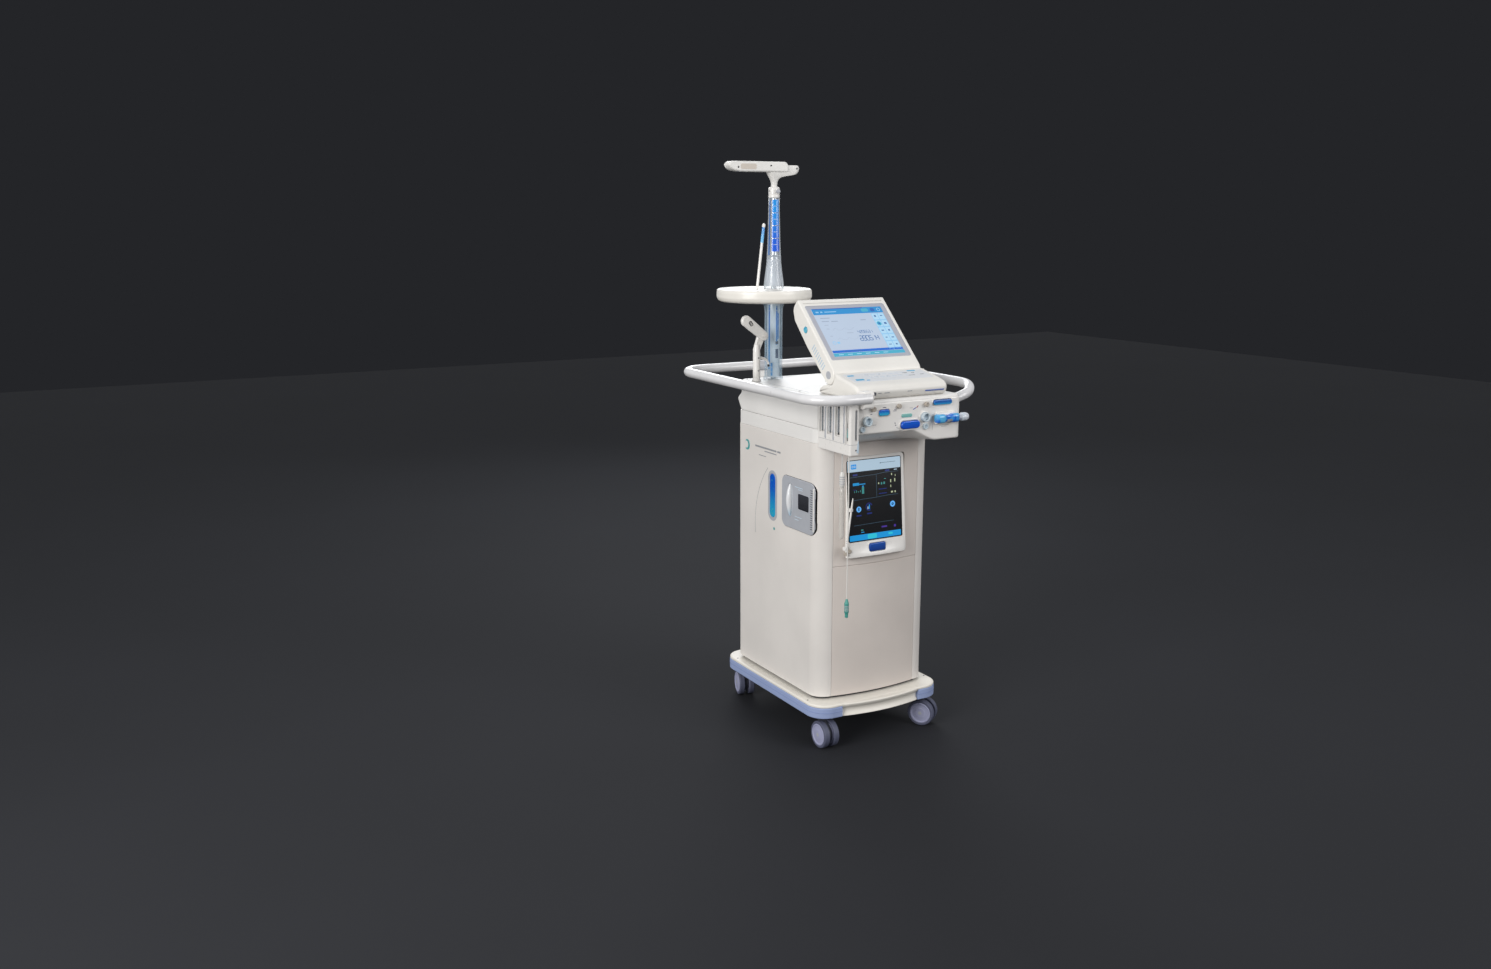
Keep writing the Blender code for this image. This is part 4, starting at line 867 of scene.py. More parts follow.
def make_castor(corner):
    """A twin-wheel castor: dark yoke, soft treads, lavender discs and caps."""
    sx = -1 if "left" in corner else 1
    sy = -1 if "front" in corner else 1
    turn = Matrix.Translation((sx * CASTER_X, sy * CASTER_Y, 0)) @ Matrix.Rotation(
        radians(CASTER_YAW[corner]), 4, "Z")
    centre = (-CASTER_TRAIL, WHEEL_R)
    web_t = WHEEL_GAP - 0.003
    yoke = slab("X", circle(*centre, 0.026), -web_t / 2, web_t / 2, 0.001)
    neck = softened([(-0.034, WHEEL_R), (0.008, 0.055), (0.012, 0.081), (-0.012, 0.0815), (-0.04, 0.058)],
        0.006)
    low = BASE_BOTTOM - 0.0003
    hub = [(0, 0.076), (0.0135, 0.076), (0.015, 0.0775), (0.015, low - 0.0012), (0.014, low), (STEM_R, low),
        (STEM_R, BASE_BOTTOM + 0.0145), (0, BASE_BOTTOM + 0.0145)]
    yoke = fused(yoke, slab("X", neck, -web_t / 2 + 0.0003, web_t / 2 - 0.0003, 0.0012),
        turned("Z", (0, 0), hub, 48))
    yoke = carved(yoke, slab("X", circle(*centre, 0.0046, 32), -0.02, 0.02, 0))
    body = "caster_" + corner
    piece("yoke_" + corner, yoke, YOKE_DARK, "caster_yoke_" + corner, body, at=turn)
    treads, discs, caps = [], [], []
    inner, outer = WHEEL_GAP / 2, WHEEL_GAP / 2 + WHEEL_W
    for side in (-1, 1):
        tread = [(0.03, inner + 0.001), (WHEEL_R - 0.003, inner)]
        tread += arc(WHEEL_R - 0.003, inner + 0.003, 0.003, -90, 0, 5)[1:]
        tread += [(WHEEL_R, outer - 0.004)] + arc(WHEEL_R - 0.004, outer - 0.004, 0.004, 0, 90, 6)[1:]
        tread += [(0.03, outer - 0.0006)]
        treads.append(turned("X", centre, [(r, side * w) for r, w in tread], 72))
        disc = eased([(0, inner + 0.0012), (0.0298, inner + 0.0012), (0.0298, outer - 0.0003),
            (0.0285, outer + 0.0006), (0.0255, outer + 0.0006), (0.0245, outer - 0.0008),
            (0.015, outer + 0.0002), (0.0135, outer + 0.001), (0.0085, outer + 0.0012), (0, outer + 0.0015)],
            0.0008)
        discs.append(turned("X", centre, [(r, side * w) for r, w in disc], 72))
        cap = [(0, outer - 0.001), (0.0058, outer - 0.001), (0.0058, outer + 0.0011),
            (0.005, outer + 0.0015), (0, outer + 0.0015)]
        caps.append(turned("X", centre, [(r, side * w) for r, w in cap], 32))
    axle = slab("X", circle(*centre, 0.004, 32), -inner - 0.002, inner + 0.002, 0)
    body = "wheels_" + corner
    node = "caster_wheels_" + corner
    piece("wheel_treads_" + corner, treads, TREAD_DARK, node, body, at=turn)
    piece("wheel_discs_" + corner, discs, DISC_LAVENDER, body=body, at=turn)
    piece("wheel_caps_" + corner, caps, GREY_TRIM, body=body, at=turn)
    piece("wheel_axle_" + corner, axle, STEEL, body=body, at=turn)


# ---- cabinet ----
def hatch_outline():
    return rounded((HATCH_Y0 + HATCH_Y1) / 2, (HATCH_Z0 + HATCH_Z1) / 2, HATCH_Y1 - HATCH_Y0,
        HATCH_Z1 - HATCH_Z0, HATCH_CORNER, 14)


def window_outline(grow=0.0):
    return rounded(WINDOW_Y, WINDOW_Z, WINDOW_W + 2 * grow, WINDOW_H + 2 * grow, WINDOW_W / 2 - 0.001 + grow,
        16)


def ribbon(axis, route, wide, low, high):
    """A flat line of even width along a flat route."""
    left = [tuple(p) for p in offset(route, wide / 2, closed=False)]
    right = [tuple(p) for p in offset(route, -wide / 2, closed=False)]
    return slab(axis, right + left[::-1], low, high, 0)


def make_side_panels():
    height = (CABINET_BOTTOM, CABINET_TOP)
    piece("right_side", wall(side_edge(), PANEL_WALL, *height, 0.0012), SIDE_SHELL,
        "side_panel_right")
    left = wall(side_edge(), PANEL_WALL, *height, 0.0012, mirror=True)
    left = carved(left, slab("X", offset(hatch_outline(), -RUN), -HALF_W - 0.01, -HALF_W + 0.02, 0),
        slab("X", window_outline(0.0003), -HALF_W - 0.01, -HALF_W + 0.02, 0),
        slab("X", circle(-0.19, 0.172, 0.0035, 32), -HALF_W - 0.01, -HALF_W + 0.0015, 0))
    piece("left_side", left, SIDE_SHELL, "side_panel_left")
    lens = slab("X", window_outline(), -HALF_W - 0.001, -HALF_W + 0.0048, 0.0022, 6)
    piece("status_lens", lens, glossy_key("status_blue", tint(8, 84, 192), tint(36, 160, 200), 0.6, 0.69),
        "status_window")
    frame_ring = hoop("X", window_outline(0.0095), window_outline(0.0004), -HALF_W - 0.0008, -HALF_W + 0.001)
    piece("status_frame", frame_ring, GREY_TRIM)
    marks = [slab("X", rounded(WINDOW_Y + dy, z, w, h, 0.0008, 3), -HALF_W - 0.001 - SKIN, -HALF_W, 0)
        for dy, z, w, h in ((-0.003, 0.618, 0.006, 0.0025), (0.004, 0.612, 0.004, 0.0025),
        (0.0, 0.606, 0.008, 0.0018), (0.002, 0.7, 0.005, 0.0018))]
    piece("status_marks", marks, TEAL_MARK)
    edge = -HALF_W
    # a darker ribbon standing for the groove along the side: painted shade
    swirl = [(y, z) for y, z in arc(-0.123, 0.56, 0.241, 45.2, -7, 60)]
    piece("side_arc_groove_shade", ribbon("X", swirl, 0.0011, edge - SKIN, edge + 0.0005), GREY_MARK)
    piece("side_dot", slab("X", circle(0.012, 0.563, 0.0042, 32), edge - SKIN, edge + 0.0005, 0), TEAL_MARK)
    stripes = [slab("X", rounded(y, z, w, h, h * 0.45, 3), edge - SKIN, edge + 0.0005, 0) for y, z, w,
        h in ((0.06, 0.7835, 0.118, 0.005), (0.034, 0.7745, 0.066, 0.003), (0.078, 0.76, 0.04, 0.0022),
        (-0.012, 0.7835, 0.018, 0.005))]
    piece("side_stripes", stripes, GREY_MARK)
    outer, inner = arc(0.165, 0.779, 0.015, 60, 300, 30), arc(0.169, 0.779, 0.0105, 300, 60, 30)
    piece("side_crescent", slab("X", outer + inner, edge - SKIN, edge + 0.0005, 0), TEAL_MARK)
    hinges = []
    for z in (0.614, 0.698):
        hinges.append(slab("Z", circle(HATCH_OUT + 0.0005, HATCH_Y0 - 0.0022, 0.0022, 24), z - 0.01,
            z + 0.01, 0.0008))
    piece("hatch_hinges", hinges, GREY_TRIM)


def make_rear_panel():
    half = HALF_W - CABINET_REAR_CORNER - SEAM
    panel = wall([(half - 2 * half * i / 12, HALF_D) for i in range(13)], PANEL_WALL, CABINET_BOTTOM,
        CABINET_TOP, 0.0012)
    cuts = [slab("Y", rounded(0.09, 0.215, 0.0506, 0.0306, 0.0043, 6), HALF_D - 0.02, HALF_D + 0.02, 0)]
    for row in range(12):
        for x in (-0.075, 0.075):
            outline = rounded(x, 0.56 + 0.011 * row, 0.09, 0.005, 0.0024, 4)
            cuts.append(slab("Y", outline, HALF_D - 0.02, HALF_D + 0.02, 0))
    panel = carved(panel, together(*cuts))
    piece("back_panel", panel, SIDE_SHELL, "rear_panel")
    # a dark sheet behind the vent slots: painted shade seen through them
    vent_shade_sheet = slab("Y", rounded(0, 0.62, 0.27, 0.17, 0.004, 4), HALF_D - 0.012, HALF_D - 0.008, 0.0006)
    piece("back_vent_shade", vent_shade_sheet, SLOT_SHADE)
    fan_ring = turned("Y", (-0.07, 0.33), softened([(0.036, HALF_D - 0.001), (0.048, HALF_D - 0.001),
        (0.048, HALF_D + 0.0022), (0.045, HALF_D + 0.0034), (0.039, HALF_D + 0.0034),
        (0.036, HALF_D + 0.0016)], 0.0012), 72)
    grille = [turned("Y", (-0.07, 0.33), [(r, HALF_D), (r + 0.0016, HALF_D), (r + 0.0016, HALF_D + 0.0018),
        (r, HALF_D + 0.0018)], 72) for r in (0.008, 0.015, 0.022, 0.029)]
    spokes = []
    for angle in (0, 45, 90, 135):
        way = Matrix.Rotation(radians(angle), 2)
        corners = [tuple(way @ Vector(p) + Vector((-0.07, 0.33))) for p in
            ((-0.038, -0.0009), (0.038, -0.0009), (0.038, 0.0009), (-0.038, 0.0009))]
        spokes.append(slab("Y", corners, HALF_D + 0.0002, HALF_D + 0.0014, 0))
    piece("fan_guard_ring", fan_ring, WHITE_SHELL)
    piece("fan_guard_wires", [*grille, *spokes], ALUMINIUM)
    piece("fan_shade", slab("Y", circle(-0.07, 0.33, 0.0375), HALF_D - 0.0005, HALF_D + 0.0002, 0),
        SLOT_SHADE)
    inlet = rounded(0.09, 0.215, 0.05, 0.03, 0.004, 6)
    socket = carved(slab("Y", inlet, HALF_D - 0.03, HALF_D + 0.002, 0.0008),
        slab("Y", rounded(0.09, 0.215, 0.026, 0.018, 0.003, 6), HALF_D - 0.018, HALF_D + 0.02, 0))
    piece("mains_socket", socket, JOINT_DARK, "power_inlet")
    pins = [slab("Y", rounded(x, z, 0.0018, 0.0045, 0.0004, 2), HALF_D - 0.019, HALF_D - 0.006, 0.0003)
        for x, z in ((0.083, 0.2135), (0.09, 0.2175), (0.097, 0.2135))]
    piece("mains_pins", pins, STEEL)
    screws = [screw("Y", x, z, HALF_D, 1, 0.0034) for x in (-0.145, 0.145) for z in (0.165, 0.4, 0.52, 0.8)]
    screws += [screw("Y", -0.07 + dx, 0.33 + dz, HALF_D + 0.0034, 1, 0.0022) for dx,
        dz in ((-0.0295, -0.0295), (0.0295, -0.0295), (0.0295, 0.0295), (-0.0295, 0.0295))]
    piece("back_screws", screws, SCREW_STEEL)
    plate = slab("Y", rounded(0.085, 0.33, 0.076, 0.05, 0.003, 5), HALF_D - 0.0005, HALF_D + 0.0006, 0.0003)
    piece("rating_plate", plate, ALUMINIUM)
    bars = [slab("Y", rounded(0.085 - dx, 0.33 + dz, w, 0.0022, 0.0008, 2), HALF_D, HALF_D + 0.0006 + SKIN,
        0) for dx, dz, w in ((0.01, 0.016, 0.044), (0.006, 0.009, 0.052), (0.016, 0.002, 0.032),
        (0.002, -0.008, 0.06), (0.012, -0.015, 0.04))]
    piece("rating_plate_bars", bars, GREY_MARK)


def display_face(z):
    """Where the small screen's housing stands at a height: it leans out towards its chin."""
    return -HALF_D - CABINET_BOW + 0.01 - 0.022 * (DISPLAY_Z1 - z) / (DISPLAY_Z1 - DISPLAY_Z0)


def make_front_panels():
    front = front_edge()
    front[0] = (front[0][0] + SEAM, front[0][1])
    front[-1] = (front[-1][0] - SEAM, front[-1][1])
    lower = wall(front, PANEL_WALL, CABINET_BOTTOM, FRONT_SEAM_Z - SEAM / 2, 0.0012)
    piece("lower_front", lower, SHADED_FRONT_PANEL, "front_panel_lower")
    upper = wall(front, PANEL_WALL, FRONT_SEAM_Z + SEAM / 2, CABINET_TOP, 0.0012)
    middle = (DISPLAY_Z0 + DISPLAY_Z1) / 2
    opening = rounded(DISPLAY_X, middle, DISPLAY_W, DISPLAY_Z1 - DISPLAY_Z0, DISPLAY_CORNER, 10)
    upper = carved(upper, slab("Y", offset(opening, -0.0003), -HALF_D - 0.05, -HALF_D + 0.05, 0))
    piece("upper_front", upper, SHADED_FRONT_PANEL, "front_panel_upper")


def make_display():
    middle = (DISPLAY_Z0 + DISPLAY_Z1) / 2
    opening = rounded(DISPLAY_X, middle, DISPLAY_W - 0.0006, DISPLAY_Z1 - DISPLAY_Z0 - 0.0006,
        DISPLAY_CORNER, 12)
    housing = skin([[(x, display_face(z) + d, z) for x, z in offset(opening, inset)] for d,
        inset in ((0.0, 0.0034), (0.0003, 0.002), (0.0011, 0.0008), (0.0026, 0.0), (0.03, 0.0))])
    glass = rounded(GLASS_X, GLASS_Z, GLASS_W, GLASS_H, 0.005, 8)
    pocket = skin([[(x, display_face(z) + d, z) for x, z in offset(glass, -0.0003)]
        for d in (-0.01, 0.0025)])
    button = rounded(BUTTON_X, BUTTON_Z, BUTTON_W, BUTTON_H, 0.005, 10)
    face = display_face(BUTTON_Z)
    well = slab("Y", offset(button, -RUN), face - 0.02, face + 0.0105, 0)
    housing = carved(housing, pocket, well)
    piece("display_tray", housing, WHITE_SMOOTH, "display_housing")
    half = DISPLAY_W / 2 - 0.0006
    loops = []
    for i in range(41):
        x = DISPLAY_X - half + 2 * half * i / 40
        b = bow(x - DISPLAY_X, half, 0.0065)
        ends = 0.003 * (1 - smoothstep(0, 0.006, half - abs(x - DISPLAY_X)))
        rows = [(0.5645, 0.004, 0.0), (0.564, -0.0003, 0.0), (0.554, -0.0004, 0.12), (0.546, -0.0005, 0.3),
            (0.538, -0.0005, 0.62), (0.531, -0.0004, 0.92), (0.5262, 0.0004, 1.0), (0.524, 0.003, 0.9),
            (0.5236, 0.007, 0.4), (0.5236, 0.014, 0.0)]
        loops.append([(x, display_face(z) + d + ends - b * share, z) for z, d, share in rows])
    chin = carved(skin(loops), slab("Y", offset(button, -RUN), face - 0.02, face + 0.02, 0))
    piece("display_chin", chin, WHITE_SMOOTH)
    surround = hoop("Y", rounded(BUTTON_X, BUTTON_Z, BUTTON_W + 0.007, BUTTON_H + 0.007, 0.0082, 10),
        rounded(BUTTON_X, BUTTON_Z, BUTTON_W + 0.0018, BUTTON_H + 0.0018, 0.0056, 10), face - 0.0024,
        face + 0.004, 0.0008)
    piece("display_button_surround", surround, WHITE_SMOOTH)
    piece("display_key", slab("Y", button, face - 0.0052, face + 0.006, 0.002, 6),
        glossy_key("display_key_blue", tint(20, 82, 176), tint(10, 58, 140), 0.538, 0.56, 0.28),
        "display_button", "display_button")
    lens = skin([[(x, display_face(z) + d, z) for x, z in offset(glass, inset)] for d,
        inset in ((-0.0003, 0.0006), (0.0, 0.0), (0.0022, 0.0))])
    piece("display_glass", lens, lit("display_black", tint(4, 6, 14), 0.3, coat=0.15),
        "display_screen")
    clip = turned("Y", (-0.1, 0.545), eased([(0, face), (0.0058, face), (0.0058, face - 0.004),
        (0.003, face - 0.0046), (0, face - 0.004)], 0.0008), 32)
    piece("display_pin", clip, BEIGE_TRIM)


def make_stylus():
    """A slim pen leaning in its clip beside the small screen."""
    y = -HALF_D - CABINET_BOW - 0.0135
    foot, tip = Vector((-0.113, y, 0.545)), Vector((-0.093, y, 0.69))
    shares = [0, 0.03, 0.08, 0.3, 0.62, 0.8, 0.9, 0.955, 0.985, 1.0]
    radii = [0.0022, 0.0026, 0.0026, 0.0026, 0.0025, 0.0025, 0.0022, 0.0016, 0.001, 0.0006]
    piece("pen", rod([foot.lerp(tip, s) for s in shares], radii, 24), WHITE_SMOOTH, "stylus")
    cuffs = [rod([foot.lerp(tip, s), foot.lerp(tip, s + 0.012)], 0.0029, 24) for s in (0.16, 0.2, 0.78)]
    piece("pen_cuffs", cuffs, GREY_TRIM)
    holder = [slab("X", rounded(y + 0.0045, z, 0.0135, 0.01, 0.003, 5), x - 0.0045, x + 0.0045, 0.001) for x,
        z in ((-0.1118, 0.5535), (-0.0975, 0.6575))]
    pen_way = rod([foot.lerp(tip, -0.1), foot.lerp(tip, 1.1)], 0.0029, 24)
    piece("pen_holders", carved(together(*holder), pen_way), WHITE_SHELL)
    seat = slab("Z", circle(foot.x, y + 0.0005, 0.0045, 32), foot.z - 0.01, foot.z - 0.0005, 0.0012)
    piece("pen_seat", seat, BEIGE_TRIM)


def make_hatch():
    """The smoked cover of the filter bay with its inlay, and the bow handle."""
    recess = rounded(HANDLE_Y, HANDLE_Z, HANDLE_W, HANDLE_H, HANDLE_W / 2 - 0.0005, 12)
    door = carved(slab("X", hatch_outline(), HATCH_OUT, HATCH_OUT + HATCH_T, 0.0012),
        slab("X", offset(recess, -RUN), HATCH_OUT - 0.01, HATCH_OUT + 0.0022, 0))
    piece("hatch_cover", door, SMOKED, "hatch_door", "hatch")
    skin_x = HATCH_OUT
    pane = rounded(-0.144, 0.6665, 0.054, 0.043, 0.004, 6)
    piece("hatch_pane", slab("X", pane, skin_x - 0.0004, skin_x + 0.0015, 0.0003),
        glossy_key("hatch_pane_dark", tint(58, 60, 68), tint(34, 36, 44), 0.645, 0.688, 0.12),
        body="hatch")
    rim = hoop("X", offset(pane, -0.0016), pane, skin_x - 0.0007, skin_x + 0.0008, 0.0003)
    piece("hatch_pane_rim", rim, GREY_TRIM, body="hatch")
    bars = [slab("X", rounded(-0.167 + 0.0046 * i, 0.6665, 0.0016, 0.036, 0.0006, 2), skin_x - 0.0007,
        skin_x, 0) for i in range(11)]
    piece("hatch_pane_bars", bars, JOINT_DARK, body="hatch")
    edge = slab("X", rounded(-0.1945, 0.656, 0.005, 0.118, 0.0022, 5), skin_x - 0.0006, skin_x + 0.001,
        0.0004)
    piece("hatch_edge_strip", edge, WHITE_SMOOTH, body="hatch")
    # dark bars for the cover's vent slits: painted shade
    vents = [slab("X", rounded(-0.184, 0.602 + 0.0062 * i, 0.0105, 0.0018, 0.0008, 2), skin_x - 0.0003,
        skin_x, 0) for i in range(18)]
    piece("hatch_vent_shade", vents, SLOT_SHADE, body="hatch")
    marks = [slab("X", rounded(y, z, w, h, 0.0006, 2), skin_x - SKIN, skin_x, 0) for y, z, w,
        h in ((-0.12, 0.704, 0.04, 0.002), (-0.128, 0.6985, 0.024, 0.0016), (-0.118, 0.622, 0.036, 0.0016),
        (-0.11, 0.614, 0.02, 0.0016))]
    piece("hatch_marks", marks, PALE_MARK, body="hatch")
    low, high = HATCH_OUT - 0.011, HATCH_OUT + 0.0019
    sections = []
    for i in range(49):
        t = -1 + 2 * i / 48
        z = HANDLE_Z + t * (HANDLE_H / 2 - 0.0005)
        reach = low + (high - 0.003 - low) * t * t
        half = HANDLE_W / 2 * sqrt(max(1 - t * t, 0.1))
        sections.append([(high + (reach - high) * sin(radians(a)) ** 0.7, HANDLE_Y - half * cos(radians(a)),
            z) for a in range(0, 181, 12)])
    piece("hatch_bow_handle", skin(sections), glossy_key("handle_white", tint(226, 227, 229),
        tint(186, 208, 224), 0.618, 0.648, 0.3), "hatch_handle", "hatch_handle")


# ---- head ----
def head_outline():
    half = HEAD_W / 2
    notch_x = MODULE_INNER_X + 0.0003
    back = -MODULE_BACK + 0.0003
    front = -HEAD_FRONT + FASCIA_T + 0.0003
    points = [(notch_x, front)]
    points += arc(half - 0.008, front + 0.008, 0.008, -90, 0, 8)
    points += [(half, -0.2), (half, -0.05), (half, 0.1)]
    points += arc(half - HEAD_CORNER, HEAD_BACK - HEAD_CORNER, HEAD_CORNER, 0, 90, 14)
    points += arc(-half + HEAD_CORNER, HEAD_BACK - HEAD_CORNER, HEAD_CORNER, 90, 180, 14)
    return points + [(-half, 0.1), (-half, 0.0), (-half, -0.1), (-half, back), (notch_x, back)]


def make_head_shell():
    skirt = cabinet_outline(0.0012)
    low, high = CABINET_TOP + 0.0003, HEAD_SEAM_Z - 0.0003
    band = hoop("Z", skirt, offset(skirt, 0.005), low, high, 0.001)
    piece("head_band", band, WHITE_SHELL, "head_skirt")
    plan = head_outline()

    def level(z, inset, lip=0.0):
        return [(x, y + lip * smoothstep(0.1, HEAD_BACK - HEAD_CORNER, y), z) for x,
            y in offset(plan, inset)]

    low = HEAD_SEAM_Z + 0.0003
    side = [(low, 0.0015, 0.0), (low + 0.0004, 0.0006, 0.002), (low + 0.0015, 0, 0.004)]
    for k in range(1, 8):
        t = k / 8
        side.append((low + 0.0015 + (HEAD_LIP_Z - 0.006 - low - 0.0015) * t, 0,
            0.004 + (HEAD_LIP_OUT - 0.007) * t))
    side += [(HEAD_LIP_Z - 0.006, 0, HEAD_LIP_OUT - 0.003), (HEAD_LIP_Z - 0.0025, 0, HEAD_LIP_OUT - 0.0007),
        (HEAD_LIP_Z, 0, HEAD_LIP_OUT), (HEAD_LIP_Z + 0.003, 0, HEAD_LIP_OUT - 0.001),
        (HEAD_LIP_Z + 0.006, 0, HEAD_LIP_OUT - 0.004), (HEAD_LIP_Z + 0.012, 0, 0.01),
        (HEAD_INSET_Z - 0.008, 0, 0.004), (HEAD_INSET_Z - 0.003, 0, 0.001), (HEAD_INSET_Z, 0, 0)]
    side += [(DECK_Z - 0.006, 0, 0)]
    side += [(DECK_Z - 0.006 + 0.006 * sin(radians(a)), 0.006 * (1 - cos(radians(a))), 0)
        for a in (18, 36, 54, 72, 90)]
    shell = skin([level(DECK_Z - HEAD_WALL, HEAD_WALL), level(low, HEAD_WALL + 0.001)] +
        [level(*row) for row in side])
    front = -HEAD_FRONT
    cuts = [slab("Y", circle(*centre, PORT_R + 0.002, 40), front - 0.01, front + 0.03, 0)
        for centre in PORTS.values()]
    relief = [(-0.17, front - 0.01), (0.19, front - 0.01), (0.19, front + 0.0163), (-0.17, front + 0.0163)]
    cuts.append(slab("Z", relief, HEAD_SEAM_Z - 0.01, 0.8841, 0))
    shell = carved(shell, *cuts)
    piece("head_cover", shell, WHITE_SHELL, "head_shell")
    seams = []
    for sx in (-1, 1):
        seams.append(slab("Z", rounded(sx * 0.158, 0.02, 0.001, 0.29, 0.0004, 2), DECK_Z - 0.0005,
            DECK_Z + SKIN, 0))
    seams.append(slab("Z", rounded(0, 0.186, 0.3, 0.001, 0.0004, 2), DECK_Z - 0.0005, DECK_Z + SKIN, 0))
    piece("deck_seams", seams, GREY_MARK)
    piece("deck_screws", [screw("Z", x, y, DECK_Z, 1) for x, y in ((0.165, 0.195), (-0.165, 0.195),
        (0.168, -0.095), (-0.168, -0.095))], SCREW_STEEL)


def fascia_bottom(x):
    return FASCIA_LOW_LEFT + (FASCIA_LOW_RIGHT - FASCIA_LOW_LEFT) * smoothstep(0.015, 0.105, x)


def make_fascia():
    """The front moulding: an upright face and a soffit that sweeps back to the cabinet."""
    front, back = -HEAD_FRONT, -HEAD_FRONT + FASCIA_T
    step = back + 0.0105
    wall_y = -HALF_D - CABINET_BOW - 0.0012 - SEAM
    floor = HEAD_SEAM_Z - 0.0003
    left, right = MODULE_INNER_X + SEAM, HEAD_W / 2 - 0.0006
    end = CABINET_TOP + 0.0012
    span_y = wall_y - front
    loops = []
    for i in range(73):
        x = left + (right - left) * i / 72
        ease = 0.004 * (1 - sqrt(smoothstep(0, 0.01, min(x - left, right - x))))
        bottom = fascia_bottom(x)
        curve = [(front + 0.0004 + ease, bottom + 0.0035), (front + 0.0014 + ease, bottom + 0.0014),
            (front + 0.0034 + ease, bottom)]
        for k in range(1, 13):
            t = k / 12
            curve.append((front + 0.0034 + ease + (span_y - 0.0034 - ease) * t,
                bottom + (end - bottom) * (1.6 * t - 0.6 * t * t)))
        section = [(front + ease, bottom + 0.006)] + curve
        section += [(wall_y, floor), (step, floor), (step, 0.8838), (back, 0.8838), (back, FASCIA_TOP),
            (front + 0.003 + ease, FASCIA_TOP), (front + 0.001 + ease, FASCIA_TOP - 0.0008),
            (front + ease, FASCIA_TOP - 0.003)]
        loops.append([(x, y, z) for y, z in section])
    ear = slab("X", rounded(-RAIL_FRONT + 0.0135, RAIL_Z - 0.0045, 0.037, 0.045, 0.009, 10), left + 0.002,
        -0.118, 0.003, 5)
    face = fused(skin(loops), ear)
    cuts = [slab("X", circle(-RAIL_FRONT, RAIL_Z, RAIL_R * 1.03, 48), -0.16, -0.128, 0)]
    for spot in (KEY_CYAN, LEVER_BLUE, LATCH_BLUE):
        cuts.append(slab("Y", key_outline(spot, RUN), front - 0.02, front + 0.004, 0))
    for x, z in KNOBS.values():
        cuts.append(slab("Y", circle(x, z, 0.0029, 24), front - 0.02, front + 0.0045, 0))
    for x, z in PORTS.values():
        cuts.append(slab("Y", circle(x, z, PORT_R + 0.0006, 48), front - 0.02, 0, 0))
    face = carved(face, *cuts)
    piece("fascia_moulding", face, WHITE_SMOOTH, "front_fascia")


def key_outline(spot, grow=0.0):
    height = spot["h"] + 2 * grow
    return rounded(spot["x"], spot["z"], spot["w"] + 2 * grow, height, spot["h"] / 2 - 0.0008 + grow, 12)


